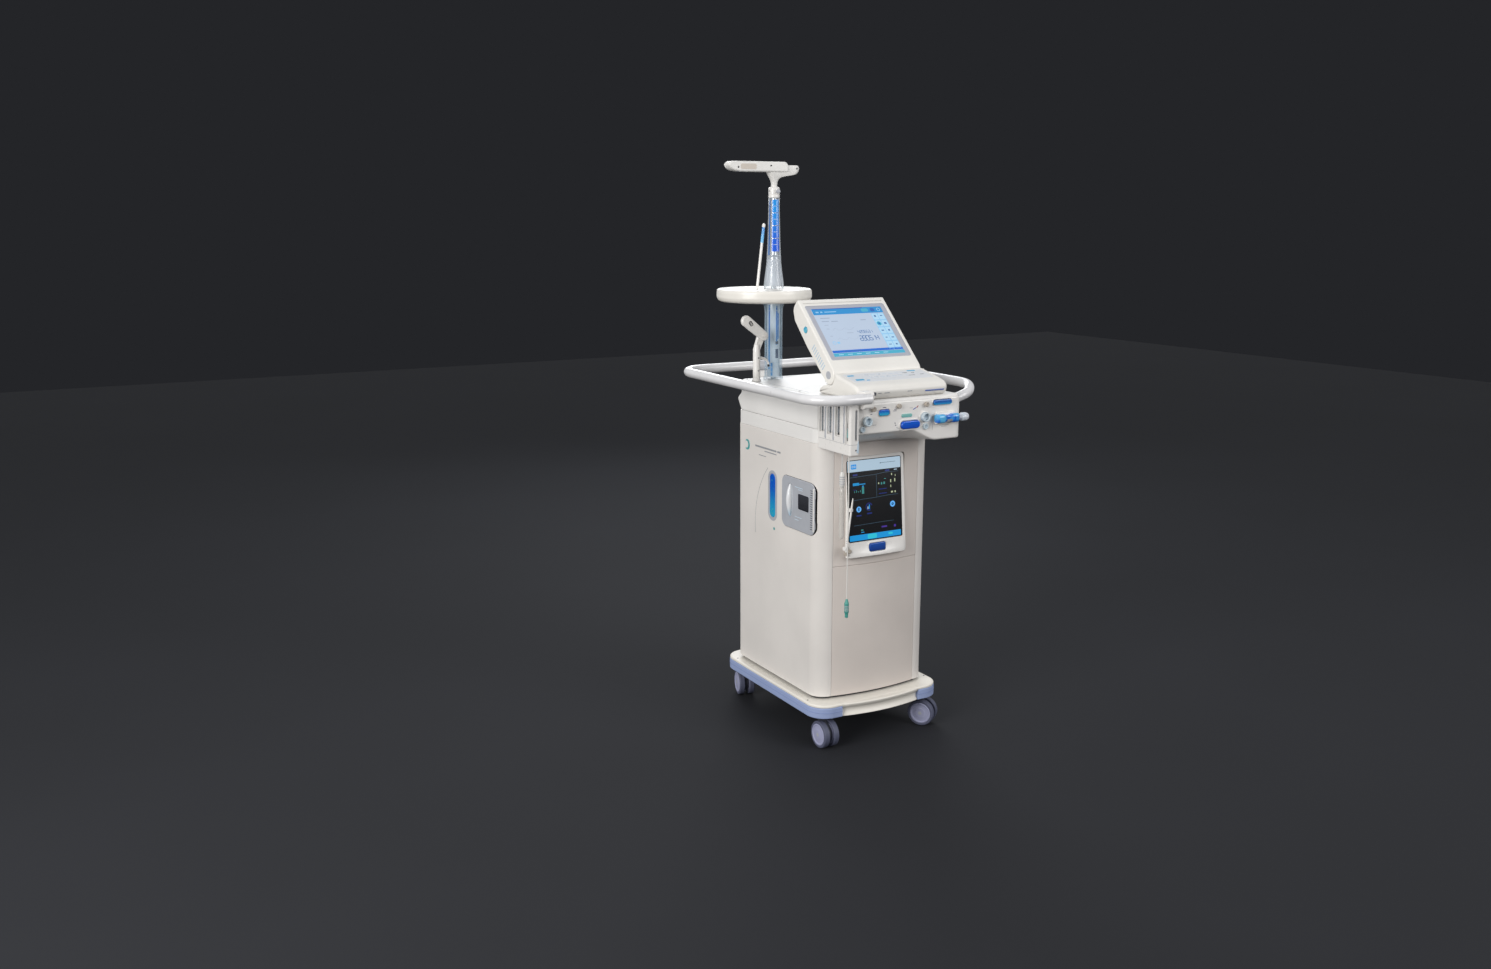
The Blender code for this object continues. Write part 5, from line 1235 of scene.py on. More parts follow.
def make_fascia_fittings():
    """Keys, knobs, ports, the connector and the small marks on the fascia."""
    front = -HEAD_FRONT
    keys = (("key_cyan", KEY_CYAN, 0.0035, glossy_key("key_cyan_blue", tint(8, 92, 204), tint(46, 168, 212),
        0.924, 0.934)), ("lever_blue", LEVER_BLUE, 0.008, glossy_key("lever_royal", tint(8, 92, 210),
        tint(4, 72, 182), 0.884, 0.9)), ("latch_blue", LATCH_BLUE, 0.007,
        glossy_key("latch_blue_fade", tint(26, 92, 172), tint(24, 150, 205), 0.9385, 0.9445)))
    for name, spot, reach, finish in keys:
        outline = rounded(spot["x"], spot["z"], spot["w"], spot["h"], spot["h"] / 2 - 0.0008, 14)
        piece(name + "_cap", slab("Y", outline, front - reach, front + 0.0008, 0.0022, 6), finish,
            name, name)
    for name, spot, grow in (("lever_rim", LEVER_BLUE, 0.0046), ("latch_rim", LATCH_BLUE, 0.003),
            ("key_rim", KEY_CYAN, 0.0024)):
        ring = hoop("Y", key_outline(spot, grow), key_outline(spot, 0.0013), front - 0.0022, front + 0.001,
            0.0009)
        piece(name, ring, WHITE_SMOOTH)
    for name, (x, z) in KNOBS.items():
        profile = [(0, front + 0.004), (0.0025, front + 0.004), (0.0025, front - 0.001)]
        profile += eased([(KNOB_R - 0.0006, front - 0.001), (KNOB_R, front - 0.0022),
            (KNOB_R, front - 0.0088), (KNOB_R - 0.001, front - 0.01), (0.0042, front - 0.01),
            (0.0038, front - 0.0094), (0, front - 0.0094)], 0.0006)
        knob = turned("Y", (x, z), profile, 48)
        notches = [slab("Y", circle(x + (KNOB_R + 0.0004) * cos(radians(a)),
            z + (KNOB_R + 0.0004) * sin(radians(a)), 0.0009, 12), front - 0.011, front - 0.0026, 0)
            for a in range(0, 360, 24)]
        knob = carved(knob, together(*notches))
        piece(name + "_cap", knob, BEIGE_TRIM, name, name)
        line = slab("Y", rounded(x, z + 0.0026, 0.0009, 0.003, 0.0003, 2), front - 0.0097, front - 0.009, 0)
        piece(name + "_line", line, NAVY_MARK, body=name)
    spare = turned("Y", (-0.02, 0.9425), eased([(0, front + 0.0002), (0.006, front + 0.0002),
        (0.006, front - 0.0066), (0.005, front - 0.0076), (0, front - 0.0076)], 0.0006), 48)
    piece("middle_stud", spare, BEIGE_TRIM)
    for name, (x, z) in PORTS.items():
        root = front + FASCIA_T + 0.018
        lip = front - PORT_REACH
        profile = softened([(PORT_BORE, root), (PORT_BORE, lip + 0.001), (PORT_BORE + 0.0012, lip),
            (PORT_R - 0.0012, lip), (PORT_R, lip + 0.0012), (PORT_R, lip + 0.0045),
            (PORT_R - 0.001, lip + 0.0052), (PORT_R - 0.001, lip + 0.0078), (PORT_R, lip + 0.0084),
            (PORT_R, root)], 0.0006)
        piece(name + "_tube", turned("Y", (x, z), profile, 64), PORT_PLASTIC, name)
        collar = turned("Y", (x, z), softened([(PORT_R + 0.0004, front + 0.001),
            (PORT_R + 0.0034, front + 0.001), (PORT_R + 0.003, front - 0.0018),
            (PORT_R + 0.0004, front - 0.0022)], 0.0006), 64)
        piece(name + "_collar", collar, WHITE_SMOOTH)
        seat = turned("Y", (x, z), eased([(0, lip + 0.009), (0.003, lip + 0.0086),
            (PORT_BORE - 0.0002, lip + 0.007), (PORT_BORE - 0.0002, lip + 0.01), (0, lip + 0.0106)], 0.0006),
            48)
        piece(name + "_valve", seat, PALE_MARK)
    for name, x, z, r in (("drain_boss_left", -0.132, 0.89, 0.008), ("drain_boss_right", 0.067, 0.883,
            0.0085)):
        boss = turned("Y", (x, z), softened([(0.0042, front + 0.001), (r, front + 0.001),
            (r, front - 0.0038), (r - 0.0012, front - 0.005), (0.0052, front - 0.005),
            (0.0042, front - 0.004)], 0.0008), 48)
        piece(name, boss, PORT_PLASTIC)
        core = turned("Y", (x, z), [(0, front + 0.001), (0.0041, front + 0.001), (0.0041, front - 0.0022),
            (0, front - 0.0026)], 32)
        piece(name + "_plug", core, PALE_MARK)
    teal = slab("Y", rounded(0.006, 0.9165, 0.033, 0.0095, 0.0042, 8), front - 0.0022, front + 0.0005, 0.001)
    piece("teal_pill", teal, glossy_key("teal_pill_fade", tint(138, 192, 186), tint(104, 176, 170), 0.912,
        0.921, 0.3))
    make_connector(front)
    make_fascia_marks(front)


def make_connector(front):
    """The blue side connector: a sleeve with a paler clear middle, and its white tip."""
    y, z = front - 0.013, CONNECTOR_Z
    outline = rounded(y, z, 0.024, 0.024, 0.008, 12)
    low, high = CONNECTOR_X - 0.035, CONNECTOR_X + 0.035
    loops = []
    waist = [(0, 0.003), (0.03, 0.0012), (0.07, 0.0), (0.3, 0.0), (0.36, 0.0022), (0.44, 0.0034),
        (0.55, 0.0034), (0.63, 0.002), (0.7, 0.0), (0.93, 0.0), (0.97, 0.0012), (1, 0.003)]
    for share, inset in waist:
        loops.append([(low + (high - low) * share, u, v) for u, v in offset(outline, inset)])
    tip_at = high
    tip = eased([(0, tip_at - 0.005), (0.0065, tip_at - 0.005), (0.0065, tip_at + 0.006),
        (0.0105, tip_at + 0.01), (0.0115, tip_at + 0.024), (0.009, tip_at + 0.032), (0, tip_at + 0.035)],
        0.002)
    surface = Surface("connector_blue")
    cloud = surface.noise(38.0, 4.0, 0.6, (1.0, 0.6, 0.6))
    tone = surface.mix(cloud.clamped(0.46, 0.62), tint(6, 96, 200), tint(86, 176, 224))
    # painted highlight: paler on the outer edges
    tone = surface.mix(surface.edges() * 0.4, tone, tint(180, 214, 236))
    finish = surface.finish(base_color=tone, roughness=0.14 + cloud * 0.15, coat_weight=0.7,
        coat_roughness=0.05)
    piece("connector_sleeve", skin(loops), finish, "connector_body")
    piece("connector_tip", turned("X", (y, z), tip, 48), clear("tip_milk", tint(226, 231, 238), 0.7, 0.92))
    rings = [turned("X", (y, z), [(0, x), (0.0108, x), (0.0112, x + 0.0008), (0.0108, x + 0.0016),
        (0, x + 0.0016)], 48) for x in (tip_at + 0.012, tip_at + 0.016, tip_at + 0.02)]
    piece("connector_tip_rings", rings, PALE_MARK)
    bars = [slab("Y", rounded(CONNECTOR_X + dx, z - 0.0045, 0.002, 0.006, 0.0006, 2), front - 0.0252,
        front - 0.02, 0.0003) for dx in (-0.004, 0.0, 0.004, 0.008)]
    piece("connector_contacts", bars, GREY_MARK)
    saddle = slab("X", rounded(front - 0.004, z, 0.014, 0.031, 0.0055, 8), CONNECTOR_X - 0.03,
        CONNECTOR_X + 0.03, 0.002)
    piece("connector_saddle", saddle, WHITE_SMOOTH)


def make_fascia_marks(front):
    """Printed dashes and icons, none of them a letter."""
    def dash(x, z, w, h, lean=0.0):
        turn = Matrix.Rotation(radians(lean), 2)
        corners = rounded(0, 0, w, h, min(w, h) * 0.3, 2)
        moved = [tuple(turn @ Vector(p) + Vector((x, z))) for p in corners]
        return slab("Y", moved, front - SKIN, front + 0.0008, 0)

    piece("red_dash", dash(0.04, 0.937, 0.0075, 0.0022, 42), RED_MARK)
    piece("blue_dash", dash(0.031, 0.9325, 0.011, 0.002, 24), BLUE_MARK)
    navy = [dash(-0.03, 0.8985, 0.0016, 0.006, 12), dash(-0.028, 0.893, 0.0042, 0.0016, 20),
        dash(-0.03, 0.935, 0.007, 0.0018), dash(-0.031, 0.931, 0.01, 0.0014),
        dash(-0.105, 0.927, 0.006, 0.0016), dash(-0.064, 0.942, 0.011, 0.0016)]
    piece("navy_dashes", navy, NAVY_MARK)
    grey = [dash(-0.012, 0.883, 0.03, 0.0012, -16), dash(-0.095, 0.899, 0.012, 0.0012),
        dash(0.09, 0.88, 0.001, 0.016), dash(0.0905, 0.908, 0.001, 0.01), dash(0.128, 0.882, 0.03, 0.0012),
        dash(0.128, 0.8785, 0.018, 0.001), dash(-0.09, 0.935, 0.018, 0.001), dash(0.02, 0.935, 0.01, 0.001)]
    piece("grey_dashes", grey, GREY_MARK)


def make_module():
    """Clear upright tubes before a gap painted dark as shade, over a white block with a pale patch on its
    cheek.
    """
    left, right = -HEAD_W / 2 - 0.0005, MODULE_INNER_X - 0.0003
    front, back = -MODULE_FRONT, -MODULE_BACK - 0.0003
    top = DECK_Z - 0.004
    block = slab("Z", rounded((left + right) / 2, (front + back) / 2, right - left, back - front, 0.005, 8),
        MODULE_BOTTOM, top, 0.0022, 5)
    slots = [slab("Z", rounded(left, y, 0.012, 0.02, 0.004, 6), 0.872, top - 0.008, 0)
        for y in (-0.225, -0.262, -0.3)]
    slots.append(slab("Z", rounded(left, -0.343, 0.008, 0.0105, 0.003, 6), 0.858, top - 0.004, 0))
    slots.append(slab("Y", rounded((left + right) / 2 + 0.004, 0.905, 0.007, 0.08, 0.003, 6), front - 0.01,
        front + 0.004, 0))
    relief = slab("Z", cabinet_outline(-0.0012), MODULE_BOTTOM - 0.02, HEAD_SEAM_Z, 0)
    block = carved(block, relief, *slots)
    piece("module_block", block, WHITE_SMOOTH, "side_module")
    tubes = [rod([(left + 0.0015, y, low), (left + 0.0015, y, high)], r, 28, dome=True) for y, low, high,
        r in ((-0.23, 0.88, 0.938, 0.003), (-0.258, 0.882, 0.94, 0.0034), (-0.266, 0.88, 0.936, 0.0024),
        (-0.304, 0.884, 0.94, 0.0036))]
    piece("module_tubes", tubes, CLEAR_WHITE)
    ribs = [rod([(left + 0.003, y, 0.861), (left + 0.003, y, top - 0.005)], 0.0045, 28, dome=True)
        for y in (-0.2435, -0.281, -0.33)]
    piece("module_ribs", ribs, GREY_TRIM)
    collars = []
    for y in (-0.2435, -0.281, -0.33):
        for z in (0.878, 0.902, 0.93):
            collars.append(turned("Z", (left + 0.003, y), drum(0.005, z, z + 0.003), 28))
    piece("module_collars", collars, STEEL)
    floor_x = left + 0.0056
    # dark sheets on the floor of the slots: painted shade
    gap_shade = [slab("X", rounded(y, 0.911, 0.019, 0.074, 0.003, 4), floor_x, floor_x + 0.0006, 0)
        for y in (-0.225, -0.262, -0.3)]
    piece("module_gap_shade", gap_shade, SLOT_SHADE)
    # a dark wedge in the gap beside the tubes: painted shade
    shade_wedge = [(-0.348, 0.862), (-0.339, 0.866), (-0.34, 0.905), (-0.343, 0.95), (-0.3455, 0.93)]
    piece("module_shade_wedge", slab("X", shade_wedge, left + 0.0034, left + 0.0046, 0), SLOT_SHADE)
    accent = [(-0.3445, 0.872), (-0.3405, 0.874), (-0.3415, 0.898)]
    piece("module_accent", slab("X", accent, left + 0.0026, left + 0.0036, 0.0003), TEAL_MARK)
    mid = (left + right) / 2 + 0.004
    strips = [slab("Y", rounded(mid + dx, 0.905, w, 0.074, w * 0.3, 2), front + 0.001, front + 0.0045,
        0.0002) for dx, w in ((-0.002, 0.0014), (0.0003, 0.0008), (0.002, 0.0016))]
    piece("module_front_strips", strips, GREY_MARK)
    cheek = [(right - 0.0085, 0.836), (right - 0.002, 0.833), (right - 0.0012, 0.852),
        (right - 0.003, 0.866), (right - 0.006, 0.858)]
    piece("module_cheek", slab("Y", cheek, front - 0.0008, front + 0.002, 0.0003), PALE_MARK)
    lines = [slab("Z", rounded((left + right) / 2, (front + back) / 2, right - left + 0.0006,
        back - front + 0.0006, 0.0052, 8), z, z + 0.0007, 0) for z in (0.856,)]
    belt = carved(lines[0], slab("Z", cabinet_outline(-0.002), 0.8, 0.9, 0))
    piece("module_belt", belt, GREY_MARK)
    caps = [screw("Y", mid, 0.842, front, -1, 0.0024)]
    piece("module_screw", caps, SCREW_STEEL)


# ---- rail, mast and post ----
def rail_route():
    w, f, z = RAIL_HALF_W, RAIL_FRONT, RAIL_Z
    r = RAIL_FRONT_BEND
    points = [(-0.1285, -f, z), (-0.15, -f, z)]
    points += [(x, y, z) for x, y in arc(-w + r, -f + r, r, 270, 180, 28)]
    points += [(-w, -0.1, z), (-w, 0.12, z)]
    r = RAIL_REAR_BEND
    points += [(x, y, z) for x, y in arc(-w + r, RAIL_BACK - r, r, 180, 90, 28)]
    points += [(0, RAIL_BACK, z)]
    points += [(x, y, z) for x, y in arc(w - r, RAIL_BACK - r, r, 90, 0, 28)]
    points += [(w, 0.12, z), (w, -0.05, z)]
    bend = smooth_route([(w, -0.18, z), (w - 0.0005, -0.215, z), (0.2735, -0.249, z - 0.002),
        (0.2595, -0.277, z - 0.008), (0.235, -0.296, z - 0.018), (HEAD_W / 2 + 0.005, -0.302, z - 0.031)],
        0.004)
    return points + [tuple(p) for p in bend]


def make_rail():
    piece("push_rail", rod(rail_route(), RAIL_R - 0.00005, 48), RAIL_PAINT, "rail")
    end = Vector((HEAD_W / 2, -0.302, RAIL_Z - 0.031))
    flange = turned("X", (end.y, end.z), softened([(0.0138, HEAD_W / 2 + 0.0002),
        (0.019, HEAD_W / 2 + 0.0002), (0.0185, HEAD_W / 2 + 0.004), (0.016, HEAD_W / 2 + 0.0062),
        (0.0138, HEAD_W / 2 + 0.0066)], 0.0015), 56)
    piece("rail_flange", flange, WHITE_SMOOTH)
    low = HEAD_INSET_Z + 0.004
    saddle = RAIL_Z - RAIL_R - 0.0006
    reach = HEAD_BACK + 0.0003
    profile = softened([(reach, low), (reach + 0.01, low - 0.004), (RAIL_BACK - 0.04, low - 0.004),
        (RAIL_BACK + 0.004, saddle - 0.01), (RAIL_BACK + 0.004, saddle), (RAIL_BACK - 0.02, saddle),
        (RAIL_BACK - 0.05, low + 0.01), (reach, low + 0.014)], 0.006)
    piece("rail_arm", slab("X", profile, -0.028, 0.028, 0.0035, 5), WHITE_SHELL,
        "rail_bracket")
    strap = hoop("X", circle(RAIL_BACK - 0.0026, RAIL_Z, RAIL_R + 0.0026, 48),
        circle(RAIL_BACK, RAIL_Z, RAIL_R - 0.0014, 48), -0.014, 0.014, 0.0008)
    piece("rail_strap", strap, GREY_TRIM)
    screws = [screw("Z", x, reach + 0.03, low + 0.0118, 1, 0.0034) for x in (-0.016, 0.016)]
    piece("rail_arm_screws", screws, SCREW_STEEL)


def smooth_profile(points):
    """A turned profile as one smooth curve."""
    return [(p.x, p.y) for p in smooth_route([Vector((r, z, 0)) for r, z in points], 0.008)]


SLEEVE = smooth_profile([(0.0288, TRAY_Z1 + 0.0033), (0.027, TRAY_Z1 + 0.0223), (0.021, 1.29),
    (0.0182, 1.35), (0.0162, 1.42), (0.0155, COLLAR_Z0 - 0.0003)])


def make_mast():
    centre = (MAST_X, MAST_Y)
    low, top, bore = DECK_Z + 0.0003, TRAY_Z0 - 0.0003, MAST_R - 0.0025
    column = softened([(bore, low), (MAST_R + 0.003, low), (MAST_R + 0.003, low + 0.004),
        (MAST_R, low + 0.007), (MAST_R, top - 0.028), (MAST_R + 0.0015, top - 0.016),
        (MAST_R + 0.006, top - 0.006), (MAST_R + 0.012, top), (bore, top)], 0.002)
    piece("mast_column", turned("Z", centre, column, 72), CLEAR_BLUE, "mast_lower")
    make_column_inlays(centre)
    edge = eased([(0, TRAY_Z0), (TRAY_R - 0.012, TRAY_Z0), (TRAY_R - 0.004, TRAY_Z0 + 0.004),
        (TRAY_R, TRAY_Z0 + 0.012), (TRAY_R, TRAY_Z1 - 0.008), (TRAY_R - 0.0015, TRAY_Z1 - 0.002),
        (TRAY_R - 0.005, TRAY_Z1), (TRAY_R - 0.0085, TRAY_Z1), (TRAY_R - 0.0105, TRAY_Z1 - 0.0018),
        (TRAY_R - 0.016, TRAY_Z1 - 0.002), (TRAY_R - 0.018, TRAY_Z1 - 0.0002), (TRAY_R - 0.022, TRAY_Z1),
        (0, TRAY_Z1)], 0.003)
    tray = carved(turned("Z", (TRAY_X, MAST_Y), edge, 128), slab("Z", circle(*centre, CORE_R * 1.08, 48),
        TRAY_Z0 - 0.02, TRAY_Z1 + 0.02, 0))
    piece("tray", tray, moulded("tray_white", tint(233, 229, 221), 0.34, 0.05, coat=0.15),
        "tray_disc")
    feet = [turned("Z", (TRAY_X + 0.098 * cos(radians(a)), MAST_Y + 0.098 * sin(radians(a))),
        [(0, TRAY_Z0), (0.006, TRAY_Z0), (0.0055, TRAY_Z0 - 0.0022), (0, TRAY_Z0 - 0.0024)], 28)
        for a in (30, 150, 270)]
    piece("tray_underside_plugs", feet, GREY_TRIM)
    low = TRAY_Z1 + 0.0003
    outside = [(0.03, low), (0.03, low + 0.0016)] + SLEEVE
    inside = [(r - 0.002, z) for r, z in outside[::-1]]
    inside[-1] = (0.026, low)
    sleeve = turned("Z", centre, outside + inside, 72)
    piece("mast_sleeve", sleeve, CLEAR_WHITE, "mast_upper")
    core_top = COLLAR_Z0 + 0.009
    core = eased([(0, DECK_Z + 0.0003), (CORE_R, DECK_Z + 0.0003), (CORE_R, TRAY_Z1 + 0.006),
        (0.014, TRAY_Z1 + 0.01), (0.014, 1.305), (0.0105, 1.312), (0.0095, 1.322), (0.0088, 1.455),
        (CORE_R, 1.46), (CORE_R, core_top), (0, core_top)], 0.0015)
    piece("mast_spine", turned("Z", centre, core, 56), metal("spine_silver", tint(196, 202, 208), 0.3),
        "mast_core")
    make_mast_scale(centre)
    bore = NECK_R + 0.0005
    collar = softened([(bore, COLLAR_Z0), (COLLAR_R - 0.001, COLLAR_Z0), (COLLAR_R, COLLAR_Z0 + 0.0012),
        (COLLAR_R, COLLAR_Z0 + 0.008), (COLLAR_R - 0.0007, COLLAR_Z0 + 0.0088),
        (COLLAR_R - 0.0007, COLLAR_Z0 + 0.0102), (COLLAR_R, COLLAR_Z0 + 0.011),
        (COLLAR_R, COLLAR_Z1 - 0.005), (COLLAR_R - 0.0012, COLLAR_Z1 - 0.0012),
        (COLLAR_R - 0.0032, COLLAR_Z1), (bore, COLLAR_Z1)], 0.0006)
    piece("mast_ring", turned("Z", centre, collar, 64), WHITE_SMOOTH, "mast_collar")
    knob = turned("Y", (MAST_X, COLLAR_Z0 + 0.0175), eased([(0, MAST_Y - COLLAR_R + 0.001),
        (0.0032, MAST_Y - COLLAR_R + 0.001), (0.0032, MAST_Y - COLLAR_R - 0.004),
        (0.0058, MAST_Y - COLLAR_R - 0.005), (0.0058, MAST_Y - COLLAR_R - 0.01),
        (0, MAST_Y - COLLAR_R - 0.011)], 0.001), 40)
    piece("collar_knob", knob, GREY_TRIM)
    set_screw = screw("X", MAST_Y - 0.002, COLLAR_Z0 + 0.019, MAST_X - COLLAR_R + 0.0003, -1, 0.0022)
    piece("collar_screw", set_screw, SCREW_STEEL)
    make_t_bar(centre, core_top)
    foot, tip = Vector((-0.144, MAST_Y, TRAY_Z1 + 0.0009)), Vector((-0.123, MAST_Y, 1.395))
    piece("guide_stem", rod([foot.lerp(tip, i / 12) for i in range(13)], 0.0038, 32), WHITE_SMOOTH,
        "guide_rod")
    piece("guide_tip", rod([foot.lerp(tip, 0.72), foot.lerp(tip, 0.985)], 0.0041, 32, dome=False),
        glossy_key("guide_tip_blue", tint(30, 96, 190), tint(96, 172, 222), 1.35, 1.39))
    piece("guide_cap", rod([foot.lerp(tip, 0.975), foot.lerp(tip, 1.0)], 0.0046, 32, dome=True),
        WHITE_SMOOTH)


def make_column_inlays(centre):
    """Blue bars and a dark cuff seen through the lower column, on a liner inside it."""
    liner = turned("Z", centre, softened([(0.0165, 0.968), (0.018, 0.968), (0.018, 1.178), (0.0165, 1.178)],
        0.0008), 56)
    piece("column_liner", liner, clear("liner_tint", tint(226, 238, 248), 0.86, 0.95))
    bars = [decal(centre, lambda z: 0.0182, low, high, start, end) for low, high, start,
        end in ((0.99, 1.172, 190, 206), (1.06, 1.17, 262, 276), (1.076, 1.15, 280, 292),
        (0.972, 1.01, 214, 232))]
    piece("column_bars", bars, glossy_key("column_blue", tint(22, 110, 204), tint(70, 156, 224), 1.0, 1.15))
    dark = [decal(centre, lambda z: 0.0184, low, high, 258, 286, 0.0006) for low,
        high in ((1.022, 1.048), (1.062, 1.07))]
    piece("column_marks", dark, NAVY_MARK)
    rings = [turned("Z", centre, [(0.0181, z), (0.019, z), (0.019, z + 0.0016), (0.0181, z + 0.0016)], 56)
        for z in (0.982, 0.996, 1.008, 1.156, 1.166)]
    piece("column_rings", rings, PALE_MARK)


def decal(centre, radius_at, low, high, start, end, lift=0.0004):
    """A thin curved label round a turned face, between two heights and two angles."""
    loops = []
    for k in range(7):
        z = low + (high - low) * k / 6
        r = radius_at(z)
        loops.append([(x, y, z) for x, y in arc(*centre, r + lift, start, end, 16) +
            arc(*centre, r - 0.0006, end, start, 16)])
    return skin(loops)


def make_mast_scale(centre):
    """The blue scale on the upper sleeve, the strip beside it, and the liner at its foot."""
    def radius_at(z):
        for (r0, z0), (r1, z1) in zip(SLEEVE, SLEEVE[1:]):
            if z0 <= z <= z1:
                return r0 + (r1 - r0) * (z - z0) / (z1 - z0)
        return SLEEVE[-1][0]

    tiles = [decal(centre, radius_at, low, high, 222, 292) for low, high in
        ((1.322, 1.357), (1.359, 1.392), (1.394, 1.427), (1.429, 1.464))]
    piece("mast_scale", tiles, glossy_key("scale_blue", tint(14, 144, 224), tint(4, 86, 208), 1.335, 1.445,
        0.22))
    piece("mast_strip", decal(centre, radius_at, 1.312, 1.462, 186, 200),
        glossy_key("strip_blue", tint(40, 92, 158), tint(52, 104, 168), 1.33, 1.45, 0.25))
    ticks = [decal(centre, radius_at, z, z + 0.0014, 236, 268, 0.0006) for z in (1.34, 1.375, 1.41, 1.446)]
    piece("mast_scale_ticks", ticks, PALE_MARK)
    foot = turned("Z", centre, softened([(0.015, TRAY_Z1 + 0.006), (0.0215, TRAY_Z1 + 0.006),
        (0.0205, 1.262), (0.0158, 1.3), (0.015, 1.3)], 0.003), 56)
    piece("mast_foot_liner", foot, clear("foot_silver", tint(204, 210, 218), 0.62, 0.88))


def make_t_bar(centre, core_top):
    """A flat-topped bar on a flared blade that runs out into the short right arm."""
    left_end, right_end, step_x = MAST_X - BAR_LEFT, MAST_X + BAR_RIGHT, MAST_X + BAR_STEP
    top = softened([(left_end, BAR_Z1 - 0.009), (left_end + 0.006, BAR_Z0 + 0.009),
        (left_end + 0.018, BAR_Z0 + 0.0025), (left_end + 0.036, BAR_Z0), (step_x, BAR_Z0),
        (step_x, BAR_Z1 - 0.009), (step_x - 0.008, BAR_Z1), (left_end + 0.01, BAR_Z1)], 0.006)
    rows = ((1.504, 0.0084, 0.0084, 0.0083), (1.51, 0.009, 0.009, 0.0085), (1.515, 0.0105, 0.0105, 0.009),
        (1.52, 0.013, 0.014, 0.01), (1.523, 0.0148, 0.018, 0.0106), (1.5255, 0.0163, 0.024, 0.0111),
        (1.528, 0.0178, 0.037, 0.0116), (1.5305, 0.0193, 0.054, 0.0121), (1.533, 0.0208, 0.067, 0.0125),
        (1.537, 0.0232, 0.0735, 0.013), (1.542, 0.0262, 0.0768, 0.0134), (1.549, 0.03, 0.0788, 0.0136),
        (1.554, 0.03, 0.0775, 0.0135), (1.5565, 0.03, 0.0755, 0.013), (1.558, 0.0292, 0.073, 0.0115))
    blade = skin([[(u, v, z) for u, v in rounded(MAST_X + (right - left) / 2, MAST_Y, left + right, 2 * half,
        half - 0.0004, 8)] for z, left, right, half in rows])
    neck = turned("Z", centre, [(0, core_top + 0.0003), (NECK_R, core_top + 0.0003), (NECK_R, 1.512),
        (0, 1.514)], 56)
    holes = [slab("Y", circle(x, z, 0.0028, 24), MAST_Y - 0.03, MAST_Y - 0.012, 0) for x,
        z in ((left_end + 0.03, 1.551), (right_end - 0.013, 1.549))]
    bar = carved(fused(slab("Y", top, MAST_Y - 0.017, MAST_Y + 0.017, 0.0045, 6), blade, neck), *holes)
    piece("t_handle", bar, moulded("t_bar_shell", tint(228, 226, 222), 0.38, 0.03, crease_shade=0.02, edge_lightening=0.06),
        "t_bar", "t_bar")
    face = MAST_Y - 0.017
    patch = slab("Y", rounded(-0.181, 1.553, 0.05, 0.015, 0.004, 8), face - 0.0003, face + 0.004, 0.0003)
    piece("t_handle_patch", patch, moulded("t_patch", tint(206, 196, 184), 0.45, 0.03, edge_lightening=0.05),
        body="t_bar")
    plugs = [turned("Y", (x, z), [(0, face + depth + 0.0012), (0.0024, face + depth + 0.0012),
        (0.0024, face + depth), (0, face + depth - 0.0002)], 24) for x, z,
        depth in ((left_end + 0.03, 1.551, 0.0008), (MAST_X - 0.02, 1.556, -0.0004),
        (right_end - 0.013, 1.549, 0.0042))]
    piece("t_handle_plugs", plugs, JOINT_DARK, body="t_bar")


def capsule(ax, ay, ar, bx, by, br, count=28):
    """The outline round two circles, anticlockwise."""
    along = Vector((bx - ax, by - ay))
    turn = degrees(atan2(along.y, along.x))
    lean = degrees(acos((ar - br) / along.length))
    return arc(ax, ay, ar, turn + lean, turn + 360 - lean, count) + arc(bx, by, br, turn - lean, turn + lean,
        count)


